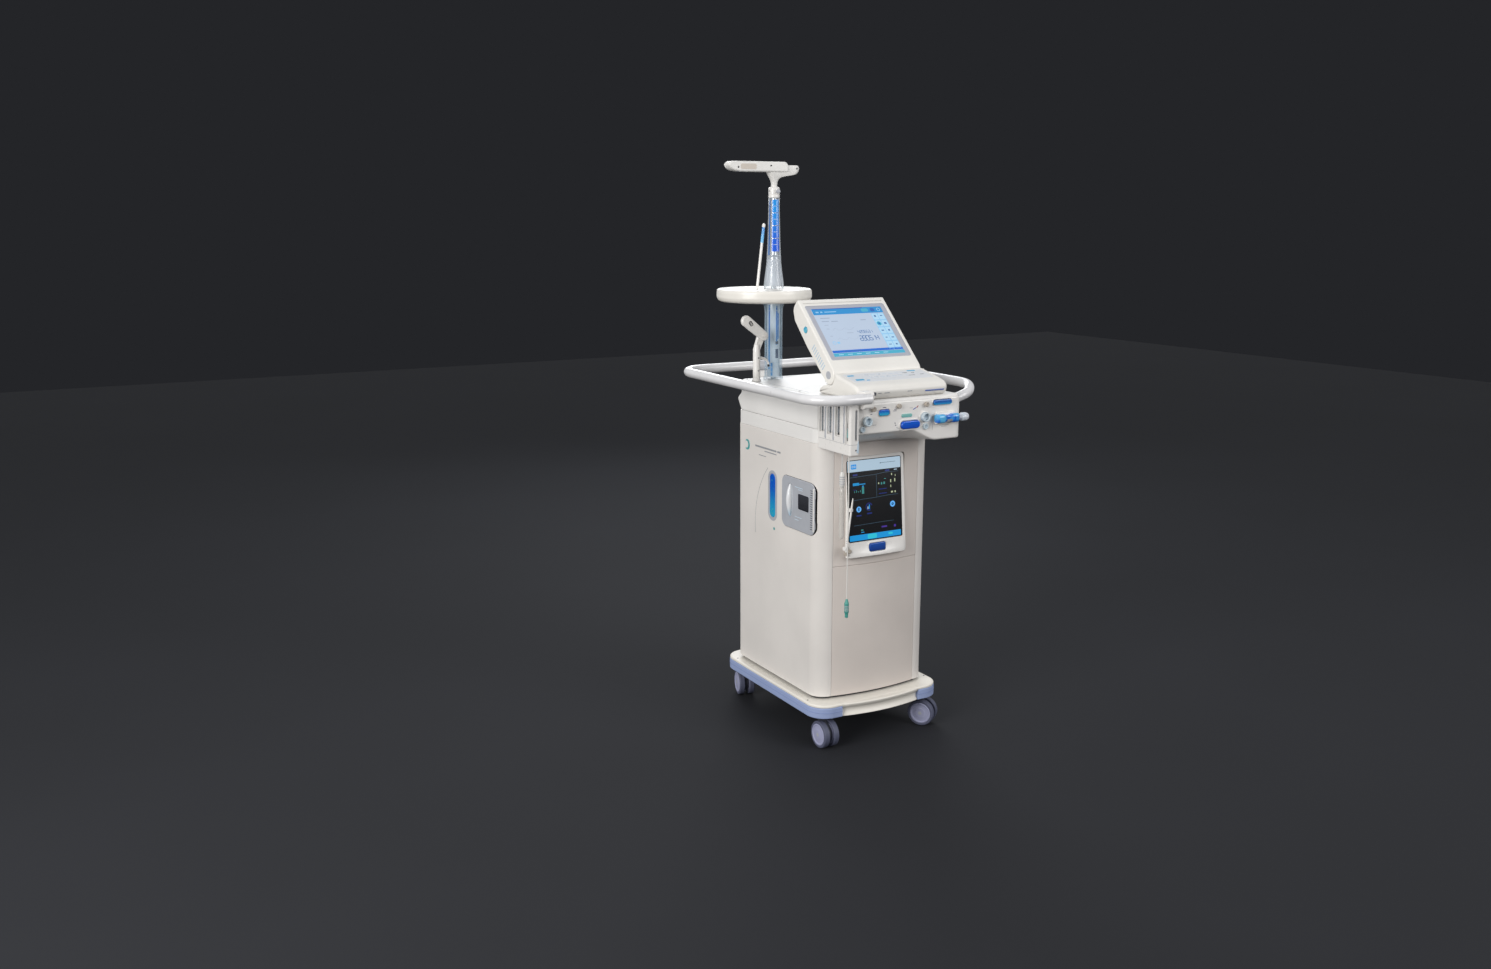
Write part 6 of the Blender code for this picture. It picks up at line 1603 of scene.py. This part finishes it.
def make_post():
    low = DECK_Z + 0.0003
    plate = (POST_Y - 0.004, POST_Y + 0.007)
    stem = eased([(0, low), (POST_R + 0.003, low), (POST_R + 0.003, low + 0.003), (POST_R, low + 0.006),
        (POST_R, 1.04), (POST_R - 0.002, 1.058), (POST_R - 0.003, 1.066), (0, 1.066)], 0.003)
    neck = slab("Y", capsule(POST_X, 1.05, 0.009, *KNUCKLE, 0.011), *plate, 0.0018, 5)
    pin_end = plate[0] - LEVER_T - 0.002
    pin = turned("Y", KNUCKLE, eased(drum(0.004, POST_Y, pin_end), 0.0006), 40)
    loops = []
    for i in range(25):
        t = i / 24
        angle = radians(90 - 95 * t)
        out = Vector((cos(angle), 0, sin(angle)))
        middle = Vector((-0.1535 + 0.03 * cos(angle), POST_Y, 1.007 + 0.02 * sin(angle)))
        r = 0.0042 - 0.0016 * t
        loops.append([tuple(middle + out * (r * cos(a)) + Vector((0, r * sin(a), 0)))
            for a in (radians(20 * k) for k in range(18))])
    post = fused(turned("Z", (POST_X, POST_Y), stem, 56), neck, pin, skin(loops))
    piece("lamp_post", post, WHITE_SMOOTH, "post")
    tip = slab("Z", circle(-0.1236, POST_Y, 0.0034, 28), 1.001, 1.0075, 0.0012)
    piece("hook_tip", tip, JOINT_DARK)
    dots = [turned("Y", (POST_X, z), [(0, POST_Y - POST_R + 0.001), (0.0022, POST_Y - POST_R + 0.001),
        (0.002, POST_Y - POST_R - 0.0007), (0, POST_Y - POST_R - 0.001)], 28) for z in (0.992, 1.028)]
    piece("post_dots", dots, SCREW_STEEL)
    near, far = plate[0] - 0.0003 - LEVER_T, plate[0] - 0.0003
    head = slab("Y", capsule(*KNUCKLE, 0.0135, *LEVER_END, 0.0155), near, far, 0.0042, 7)
    eye = rounded(0, 0, 0.0125, 0.0065, 0.003, 8)
    lean = Matrix.Rotation(radians(-52), 2)

    def at_eye(outline):
        return [tuple(lean @ Vector(p) + Vector((-0.19, 1.126))) for p in outline]

    head = carved(head, slab("Y", circle(*KNUCKLE, 0.0047, 40), POST_Y - 0.05, POST_Y + 0.05, 0),
        slab("Y", at_eye(eye), POST_Y - 0.05, POST_Y + 0.05, 0))
    piece("post_lever_grip", head, WHITE_SMOOTH, "lever_head", "post_lever")
    rim = hoop("Y", at_eye(rounded(0, 0, 0.016, 0.01, 0.0046, 8)), at_eye(rounded(0, 0, 0.0124, 0.0064,
        0.003, 8)), near - 0.0006, near + 0.0012, 0.0005)
    piece("lever_eye_rim", rim, JOINT_DARK, body="post_lever")


# ---- console ----
TILT = radians(CONSOLE_TILT)


def along_console(along, out):
    """A (y, z) point along the console from its tilt axis, and out from its middle plane."""
    return (HINGE_Y + along * cos(TILT) - out * sin(TILT), HINGE_Z + along * sin(TILT) + out * cos(TILT))


def console_slab(width, length, along, radius, low, high, rim=0.0, count=8):
    """A slab lying in the console's front face, from low to high out of it."""
    outline = rounded(0, along, width, length, radius, count)
    steps = [(low, 0.0), (high, 0.0)]
    if rim:
        steps = [(low, 0.0)] + rim_steps(low, high, rim, 3)[-4:]
    return skin([[(u, *along_console(v, CONSOLE_T / 2 + w)) for u, v in offset(outline, inset)] for w,
        inset in steps])


def make_console():
    deep = CONSOLE_T / 2
    nose = [along_console(deep * cos(a), deep * sin(a)) for a in (radians(90 + 180 * k / 28)
        for k in range(29))]
    tail = eased([along_console(0.0, -deep), along_console(0.12, -deep - 0.004),
        along_console(CONSOLE_L - 0.03, -deep), along_console(CONSOLE_L - 0.006, -deep + 0.014),
        along_console(CONSOLE_L, -deep + 0.026), along_console(CONSOLE_L, deep), along_console(0.0, deep)],
        0.006)[1:-1]
    middle = SCREEN_FOOT + SCREEN_L / 2
    body = slab("X", nose + tail, -CONSOLE_HALF, CONSOLE_HALF, 0.0036, 5)
    y, z = along_console(DIAL_ALONG, 0.0)
    top_line = slab("X", [along_console(0.229, deep - 0.0012), along_console(0.229, deep + 0.01),
        along_console(0.2302, deep + 0.01), along_console(0.2302, deep - 0.0012)], -CONSOLE_HALF + 0.012,
        CONSOLE_HALF - 0.012, 0)
    body = carved(body, console_slab(SCREEN_W + 0.0006, SCREEN_L + 0.0006, middle, 0.0043, -0.0025, 0.01),
        slab("X", circle(y, z, DIAL_R + 0.0008, 48), -CONSOLE_HALF - 0.01, -CONSOLE_HALF + 0.006, 0),
        top_line)
    piece("console_case", body, CONSOLE_SHELL, "console_housing", "console")
    glass = console_slab(SCREEN_W, SCREEN_L, middle, 0.004, -0.0022, 0.0004, 0.0004)
    piece("console_glass", glass, lit("console_border", tint(196, 199, 212), 0.5),
        "console_screen", "console")
    dial = turned("X", (y, z), eased([(0, -CONSOLE_HALF + 0.0025), (DIAL_R, -CONSOLE_HALF + 0.0025),
        (DIAL_R, -CONSOLE_HALF - 0.0012), (DIAL_R - 0.0012, -CONSOLE_HALF - 0.0024),
        (0.0052, -CONSOLE_HALF - 0.0024), (0.0046, -CONSOLE_HALF - 0.0016), (0, -CONSOLE_HALF - 0.0018)],
        0.0005), 56)
    piece("dial_cap", dial, glossy_key("dial_teal", tint(62, 164, 196), tint(92, 182, 206), z - 0.006,
        z + 0.006, 0.3), "console_dial", "console_dial")
    vents = []
    for i in range(9):
        v, w = along_console(0.03 + 0.0088 * i, -0.004)
        turn = Matrix.Rotation(TILT, 2)
        corners = [tuple(turn @ Vector(p) + Vector((v, w))) for p in rounded(0, 0, 0.0034, 0.02, 0.0015, 3)]
        vents.append(slab("X", corners, -CONSOLE_HALF - 0.0003, -CONSOLE_HALF + 0.001, 0))
    piece("console_vents", vents, PALE_MARK, body="console")
    rear = [slab("X", [along_console(a, -deep - 0.0052), along_console(a + 0.003, -deep - 0.0052),
        along_console(a + 0.003, -deep - 0.002), along_console(a, -deep - 0.002)], -0.085, 0.085, 0.0004)
        for a in [0.06 + 0.0065 * i for i in range(12)]]
    piece("console_back_fins", rear, CONSOLE_SHELL, body="console")
    ring_out = rounded(0, middle, SCREEN_W + 0.0044, SCREEN_L + 0.0044, 0.006, 8)
    ring_in = rounded(0, middle, SCREEN_W + 0.0004, SCREEN_L + 0.0004, 0.0042, 8)
    loops = [[(u, *along_console(v, deep + w)) for u, v in ring] for ring,
        w in ((ring_out, -0.001), (ring_out, 0.0002), (ring_in, 0.0006), (ring_in, -0.001))]
    piece("console_rim", skin(loops, ringed=True), GREY_TRIM, body="console")
    make_console_base()


def make_console_base():
    deep = CONSOLE_T / 2
    low = DECK_Z + 0.0003
    cradle = arc(HINGE_Y, HINGE_Z, deep + HINGE_RUN, 168, 292, 28)
    front = eased([(-0.226, 1.0195), (-0.3, 1.0035), (-0.322, 0.9975), (-0.3315, 0.989), (-0.333, 0.98),
        (-0.329, 0.969), (-0.322, low), (-0.15, low), (-0.152, 0.978), (-0.165, 0.984)], 0.008)
    profile = front + cradle[::-1]
    half = CONSOLE_HALF + 0.0025
    base = slab("X", profile, -half, half, 0.0075, 8)
    piece("console_foot", base, CONSOLE_SHELL, "console_base")
    slope = atan2(1.0195 - 1.0035, 0.074)

    def on_pad(y, out):
        return (y, 1.0035 + (y + 0.3) * tan(slope) + out)

    pad = []
    for w, inset in ((-0.001, 0.0), (0.0002, 0.0), (0.0006, 0.0006)):
        pad.append([(u, *on_pad(v, w)) for u, v in offset(rounded(0.0, -0.265, 0.25, 0.062, 0.006, 8),
            inset)])
    piece("keypad", skin(pad), moulded("keypad_face", tint(216, 218, 221), 0.34, 0.04))

    def icon(x, y, w, h, finish_list):
        outline = rounded(x, y, w, h, min(w, h) * 0.35, 4)
        finish_list.append(skin([[(u, *on_pad(v, d)) for u, v in outline] for d in (0.0, 0.001)]))

    cyan, grey, pale = [], [], []
    for x, y, w, h in ((-0.108, -0.248, 0.02, 0.007), (-0.1, -0.28, 0.026, 0.0095),
            (0.09, -0.24, 0.026, 0.006), (-0.078, -0.286, 0.01, 0.005)):
        icon(x, y, w, h, cyan)
    for x, y, w, h in ((0.06, -0.252, 0.016, 0.004), (0.084, -0.256, 0.01, 0.004),
            (0.07, -0.272, 0.02, 0.003), (0.104, -0.27, 0.012, 0.003)):
        icon(x, y, w, h, grey)
    for i in range(7):
        icon(-0.06 + 0.019 * i, -0.268, 0.013, 0.0085, pale)
        icon(-0.06 + 0.019 * i, -0.25, 0.013, 0.0065, pale)
    piece("keypad_cyan", cyan, CYAN_MARK)
    piece("keypad_grey", grey, GREY_MARK)
    piece("keypad_keys", pale, moulded("keypad_keys", tint(204, 210, 217), 0.36, 0.04))
    slit = slab("Y", rounded(0.1, 0.976, 0.06, 0.003, 0.0013, 5), -0.3334, -0.33, 0.0004)
    piece("base_slit", slit, glossy_key("slit_blue", tint(52, 92, 170), tint(40, 76, 152), 0.974, 0.978,
        0.25))
    dark = slab("Y", rounded(-0.092, 0.9775, 0.012, 0.0085, 0.0022, 4), -0.3338, -0.33, 0.0004)
    piece("base_jack", dark, YOKE_DARK)
    notes = [slab("Y", rounded(x, 0.9785, w, 0.0018, 0.0006, 2), -0.3332, -0.331, 0) for x,
        w in ((-0.074, 0.01), (-0.052, 0.016), (0.02, 0.014))]
    piece("base_marks", notes, GREY_MARK)
    caps = [slab("X", circle(HINGE_Y, HINGE_Z, 0.0105, 40), low_x, low_x + 0.0025, 0.0006)
        for low_x in (-CONSOLE_HALF - 0.0015, CONSOLE_HALF - 0.001)]
    piece("hinge_caps", caps, GREY_TRIM, body="console")


# ---- what the screens show ----
class Picture:
    """Flat tiles laid on a screen, in millimetres, gathered by glow."""

    def __init__(self, origin, up, scale=0.001):
        self.origin = Vector(origin)
        self.up = Vector(up).normalized()
        self.out = Vector((1, 0, 0)).cross(self.up)
        self.scale = scale
        self.layers = {}

    def tile(self, finish, outline, level=1):
        outline = [(u * self.scale, v * self.scale) for u, v in outline]
        mesh = skin([[tuple(self.origin + Vector((u, 0, 0)) + self.up * v + self.out * w) for u,
            v in outline] for w in (0.00008 * (level - 1), 0.00008 * level + 0.00006)])
        self.layers.setdefault(finish.name, (finish, []))[1].append(mesh)

    def block(self, finish, u, v, w, h, level=1, radius=0.0):
        round_off = min(radius or min(w, h) * 0.12, min(w, h) * 0.49)
        self.tile(finish, rounded(u, v, w, h, round_off, 4), level)

    def ring(self, finish, u, v, outer, inner, level=1, start=0, end=360):
        self.tile(finish, arc(u, v, outer, start, end, 40) + arc(u, v, inner, end, start, 40), level)

    def disc(self, finish, u, v, radius, level=1):
        self.tile(finish, circle(u, v, radius, 32), level)

    def trace(self, finish, points, wide, level=1):
        left, right = offset(points, wide / 2, closed=False), offset(points, -wide / 2, closed=False)
        self.tile(finish, right + left[::-1], level)

    def number(self, finish, u, v, size, shape, level=2):
        """A plain counter figure from seven bars. The shape names the bars that are on."""
        half, bar = size * 0.28, size * 0.13
        bars = {"a": (0, size / 2, half * 1.7, bar), "g": (0, 0, half * 1.7, bar),
            "d": (0, -size / 2, half * 1.7, bar), "f": (-half, size / 4, bar, size * 0.42),
            "b": (half, size / 4, bar, size * 0.42), "e": (-half, -size / 4, bar, size * 0.42),
            "c": (half, -size / 4, bar, size * 0.42)}
        for key in shape:
            du, dv, w, h = bars[key]
            self.block(finish, u + du, v + dv, w, h, level)

    def show(self, name, body):
        for key, (finish, meshes) in self.layers.items():
            piece(f"{name}_{key}", meshes, finish, body=body)


FIGURES = {0: "abcdef", 1: "bc", 2: "abged", 3: "abgcd", 4: "fgbc", 5: "afgcd", 6: "afgedc", 8: "abcdefg",
    9: "abcdfg"}


def show_console_picture():
    middle = SCREEN_FOOT + SCREEN_L / 2
    y, z = along_console(middle, CONSOLE_T / 2 + 0.0004)
    view = Picture((0, y, z), (0, cos(TILT), sin(TILT)), 0.00095)
    field = lit("field", tint(186, 202, 223), 0.8)
    bar = lit("bar_cyan", tint(12, 132, 196), 0.95)
    deep = lit("bar_deep", tint(10, 92, 172), 0.95)
    royal = lit("bar_royal", tint(10, 96, 196), 0.95)
    teal = lit("bar_teal", tint(62, 166, 196), 0.9)
    column = lit("column", tint(142, 196, 234), 0.85)
    tile = lit("column_tile", tint(172, 214, 240), 0.85)
    ink = lit("ink_blue", tint(62, 108, 168), 0.8)
    faint = lit("ink_faint", tint(152, 166, 190), 0.8)
    haze = lit("ink_haze", tint(170, 184, 205), 0.8)
    for finish, *spot in ((field, -2, -2, 236, 176, 1, 2), (bar, 0, 76.5, 238, 23, 2, 1.5),
            (deep, -30, 86.2, 170, 3.4, 3), (teal, 58, 76.5, 24, 12, 3, 4), (deep, 85, 76.5, 15, 13, 3, 5)):
        view.block(finish, *spot)
    view.ring(column, 106, 76.5, 6.2, 4, 3)
    view.block(column, -60, 75, 40, 3, 3)
    for u, w in ((-104, 10), (-90, 7)):
        view.block(column, u, 75, w, 4.8, 3)
    view.block(column, 94.5, -4, 44, 134, 2, 1.2)
    for row in range(5):
        for side in (-1, 1):
            view.block(tile, 94.5 + side * 10.8, 50 - 26.5 * row, 19, 22.5, 3, 2.5)
    view.disc(teal, 83.8, 23.5, 7.8, 4)
    view.disc(deep, 83.8, 23.5, 3.6, 5)
    for u, v, w, h in ((105.5, 23.5, 8.5, 7), (83, 52, 6, 7), (105, 53, 7.5, 3), (83.5, -3, 8.5, 4),
            (105.5, -3, 6, 6.5), (83.5, -29.5, 7, 3), (105, -30, 9, 3.4), (106, -56, 5.5, 5.5),
            (84, -56, 9, 2.6)):
        view.block(ink, u, v, w, h, 4)
    for u, v, w in ((-88, 52, 32), (-92, 40, 24), (-62, 39, 22), (-95, 26, 14), (36, 40, 18), (-96, 12, 10),
            (-96, -15, 9), (-30, -6, 22)):
        view.block(faint if v > 30 else haze, u, v, w, 2.6, 2)
    view.ring(column, -98, -40, 6, 4.2, 2)
    view.block(column, -84, -40, 9, 7, 2)
    for i, figure in enumerate((4, 2, 0, 6, 5, 3, 1)):
        view.number(ink, 0 + 7.2 * i, -4, 10, FIGURES[figure])
    for i, figure in enumerate((2, 8, 0, 5, 1, 4)):
        view.number(ink, -2 + 10.8 * i, -28, 17.5, FIGURES[figure])
    wave = [(-82 + 2.4 * i, 6 + 7.5 * exp(-((i % 13) - 4) ** 2 / 6.0)) for i in range(32)]
    view.trace(haze, wave, 0.9, 2)
    view.trace(haze, [(u, v - 36) for u, v in wave], 0.9, 2)
    for finish, *spot in ((royal, 0, -72, 238, 9, 2, 1), (column, 88, -72, 1.6, 8.6, 3),
            (ink, -50, -72, 60, 1.6, 3), (teal, 0, -83.5, 240, 12, 2, 1)):
        view.block(finish, *spot)
    for i in range(6):
        view.block(tile, -96 + 30 * i, -83.5, 16, 2, 3)
    view.show("console", "console")


def show_display_picture():
    up = (0, 0.022 / (DISPLAY_Z1 - DISPLAY_Z0), 1)
    view = Picture((GLASS_X, display_face(GLASS_Z) - 0.0003, GLASS_Z), up)
    silver = lit("header", tint(172, 196, 214), 0.85)
    blue = lit("icon_blue", tint(30, 142, 220), 0.9)
    cyan = lit("cyan", tint(22, 138, 200), 0.9)
    footer = lit("footer", tint(20, 142, 208), 0.95)
    light = lit("footer_light", tint(44, 186, 208), 0.95)
    teal = lit("teal", tint(60, 140, 138), 0.8)
    line = lit("frame_line", tint(58, 86, 106), 0.8)
    dim = lit("dim_blue", tint(22, 40, 112), 0.8)
    cream = lit("cream_dots", tint(186, 196, 160), 0.8)
    ring = lit("ring_blue", tint(92, 168, 236), 1.0)
    night = lit("night", tint(16, 24, 58), 0.6)
    purple = lit("purple", tint(72, 48, 150), 0.8)
    wide, half_h = 1000 * GLASS_W, 500 * GLASS_H
    view.block(silver, 0, half_h - 16.5, wide - 4, 30, 1, 2)
    view.block(blue, -66, half_h - 17.5, 17, 13, 2, 2.2)
    for u in (-69.5, -62.5):
        view.ring(silver, u, half_h - 17.5, 2.8, 1.5, 3)
    view.block(line, 45, half_h - 14, 48, 1, 2)
    view.disc(line, 20, half_h - 14.5, 1.6, 2)
    for points in ([(-82, 64), (-30, 65.5), (0, 66), (30, 69), (78, 69)],
            [(-68, 2), (-40, 3.5), (0, 4), (45, 6.5), (76, 6.5)], [(-70, -66), (0, -64.5), (60, -64)],
            [(6, 65), (6, 6)]):
        view.trace(line, points, 0.9, 1)
    for finish, *spot in ((dim, -62, 70, 15, 4.8, 1), (dim, 42, 73.5, 14, 5, 1),
            (silver, 69, 74, 10, 2.2, 1), (cyan, -60, 45, 20, 7.2, 2), (cyan, -41, 44, 22, 2.6, 2),
            (teal, -38, 27, 7, 18, 2), (cyan, -38, 38, 5, 4, 3)):
        view.block(finish, *spot)
    for i, h in enumerate((4, 6, 3, 5)):
        view.block(teal, -65 + 6.2 * i, 23 + h / 2, 1.8, h, 2)
    view.block(dim, -64, 30, 8, 1.6, 2)
    for u, v, w, h in ((13, 41, 3.4, 4.4), (22.5, 40, 4.4, 6), (31, 40.5, 5.2, 6.4), (52.5, 44, 3.2, 8),
            (66, 45.5, 3.4, 9), (52.5, 30, 2.4, 6.4), (56, 14, 6.2, 4.4), (66.5, 14, 3.4, 5),
            (56, 62, 2.8, 5.6), (68, 58, 1.8, 5), (34, 52, 6, 1.8)):
        view.block(cream if u > 40 or w < 3.6 else teal, u, v, w, h, 2)
    for v in (25, 13):
        view.block(dim, 26, v, 26, 2.4, 2)
    view.disc(ring, -53, -23, 7.8, 2)
    view.block(night, -53, -23, 3.4, 9, 3)
    view.block(dim, -53, -40, 16, 3.4, 2)
    view.ring(dim, -20, -19, 11, 8, 2, 20, 300)
    for finish, *spot in ((blue, -19, -19, 3, 12, 2), (silver, -23.5, -21.5, 3, 7, 2),
            (dim, -19, -37, 16, 4, 2)):
        view.block(finish, *spot)
    view.disc(ring, 57, -19, 8.2, 2)
    view.disc(night, 57, -19, 3.6, 3)
    view.disc(blue, 57, -19, 1.8, 4)
    for finish, *spot in ((teal, -44, -80, 7, 3.4, 2), (cyan, -42.5, -86, 10, 2.6, 2),
            (purple, 28, -78, 18, 4.2, 2)):
        view.block(finish, *spot)
    view.disc(purple, 63, -79, 3.6, 2)
    for finish, *spot in ((footer, -1, -half_h + 10.5, wide - 8, 15.5, 1, 2),
            (light, -12, -half_h + 10.5, 30, 12.5, 2, 3), (light, 48, -half_h + 11.5, 14, 6, 2, 2)):
        view.block(finish, *spot)
    view.show("display", "cabinet")


# ---- what stays from the frame ----
def dress_inner_parts():
    """Finishes for the inner solids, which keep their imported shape."""
    looks = {"base_frame": metal("chassis_steel", tint(120, 122, 128), 0.4),
        "battery_pack": moulded("battery_shell", tint(62, 64, 70), 0.5, 0.1),
        "power_supply": metal("supply_zinc", tint(168, 172, 176), 0.45, (1.0, 30.0, 1.0)),
        "blower": metal("blower_cast", tint(150, 153, 158), 0.48, (1.0, 1.0, 1.0)),
        "gas_manifold": metal("manifold_alloy", tint(172, 174, 180), 0.36)}
    for name, finish in looks.items():
        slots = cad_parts[name].data.materials
        slots.clear()
        slots.append(finish)


# ---- studio ----
def soft_light(name, place_at, target, width, height, power, colour=(1.0, 1.0, 1.0)):
    data = bpy.data.lights.new(name, "AREA")
    data.shape = "RECTANGLE"
    data.size = width
    data.size_y = height
    data.energy = power
    data.color = colour
    light = bpy.data.objects.new(name, data)
    light.location = place_at
    light.rotation_euler = (Vector(target) - Vector(place_at)).to_track_quat("-Z", "Y").to_euler()
    bpy.context.collection.objects.link(light)


def build_studio():
    floor = bmesh.new()
    reach = 9.0
    corners = [floor.verts.new((x, y, 0)) for x, y in ((-reach, -reach), (reach, -reach), (reach, reach),
        (-reach, reach))]
    floor.faces.new(corners)
    data = bpy.data.meshes.new("floor")
    floor.to_mesh(data)
    floor.free()
    ground = bpy.data.objects.new("floor", data)
    bpy.context.collection.objects.link(ground)
    surface = Surface("floor_charcoal")
    cloud = surface.noise(1.2, 3.0)
    tone = surface.mix(cloud, tint(37, 38, 41), tint(41, 42, 46))
    data.materials.append(surface.finish(base_color=tone, roughness=0.85, specular_ior_level=0.15))
    world = bpy.data.worlds.new("studio")
    world.use_nodes = True
    nodes, links = world.node_tree.nodes, world.node_tree.links
    sky = nodes["Background"]
    sky.inputs["Color"].default_value = (0.86, 0.88, 0.92, 1)
    sky.inputs["Strength"].default_value = 0.48
    dark = nodes.new("ShaderNodeBackground")
    dark.inputs["Color"].default_value = tint(36, 37, 40)
    path = nodes.new("ShaderNodeLightPath")
    mix = nodes.new("ShaderNodeMixShader")
    links.new(path.outputs["Is Camera Ray"], mix.inputs[0])
    links.new(sky.outputs[0], mix.inputs[1])
    links.new(dark.outputs[0], mix.inputs[2])
    links.new(mix.outputs[0], nodes["World Output"].inputs["Surface"])
    bpy.context.scene.world = world
    aim = (0, 0, 0.85)
    soft_light("key_light", (-3.7, -1.4, 1.9), aim, 2.2, 2.2, 132, (1.0, 0.99, 0.97))
    soft_light("fill_light", (2.2, -3.6, 2.2), aim, 2.2, 2.2, 72, (1.0, 0.99, 0.98))
    soft_light("top_light", (0.2, 0.4, 4.0), aim, 2.6, 2.6, 20)
    soft_light("rim_light", (1.4, 3.4, 2.4), aim, 2.0, 2.0, 45, (0.96, 0.98, 1.0))
    scene = bpy.context.scene
    scene.view_settings.view_transform = "Standard"


def set_camera():
    data = bpy.data.cameras.new("camera")
    data.sensor_width = 36
    data.lens = 31.59
    camera = bpy.data.objects.new("camera", data)
    camera.location = (-1.9964, -3.0668, 1.4333)
    camera.rotation_euler = (radians(90 - 11.81), 0, radians(-29.36))
    bpy.context.collection.objects.link(camera)
    bpy.context.scene.camera = camera


set_camera()
make_leads()
make_base()
for corner in CASTER_YAW:
    make_castor(corner)
make_side_panels()
make_rear_panel()
make_front_panels()
make_display()
make_stylus()
make_hatch()
make_head_shell()
make_fascia()
make_fascia_fittings()
make_module()
make_rail()
make_mast()
make_post()
make_console()
show_console_picture()
show_display_picture()
dress_inner_parts()
build_studio()
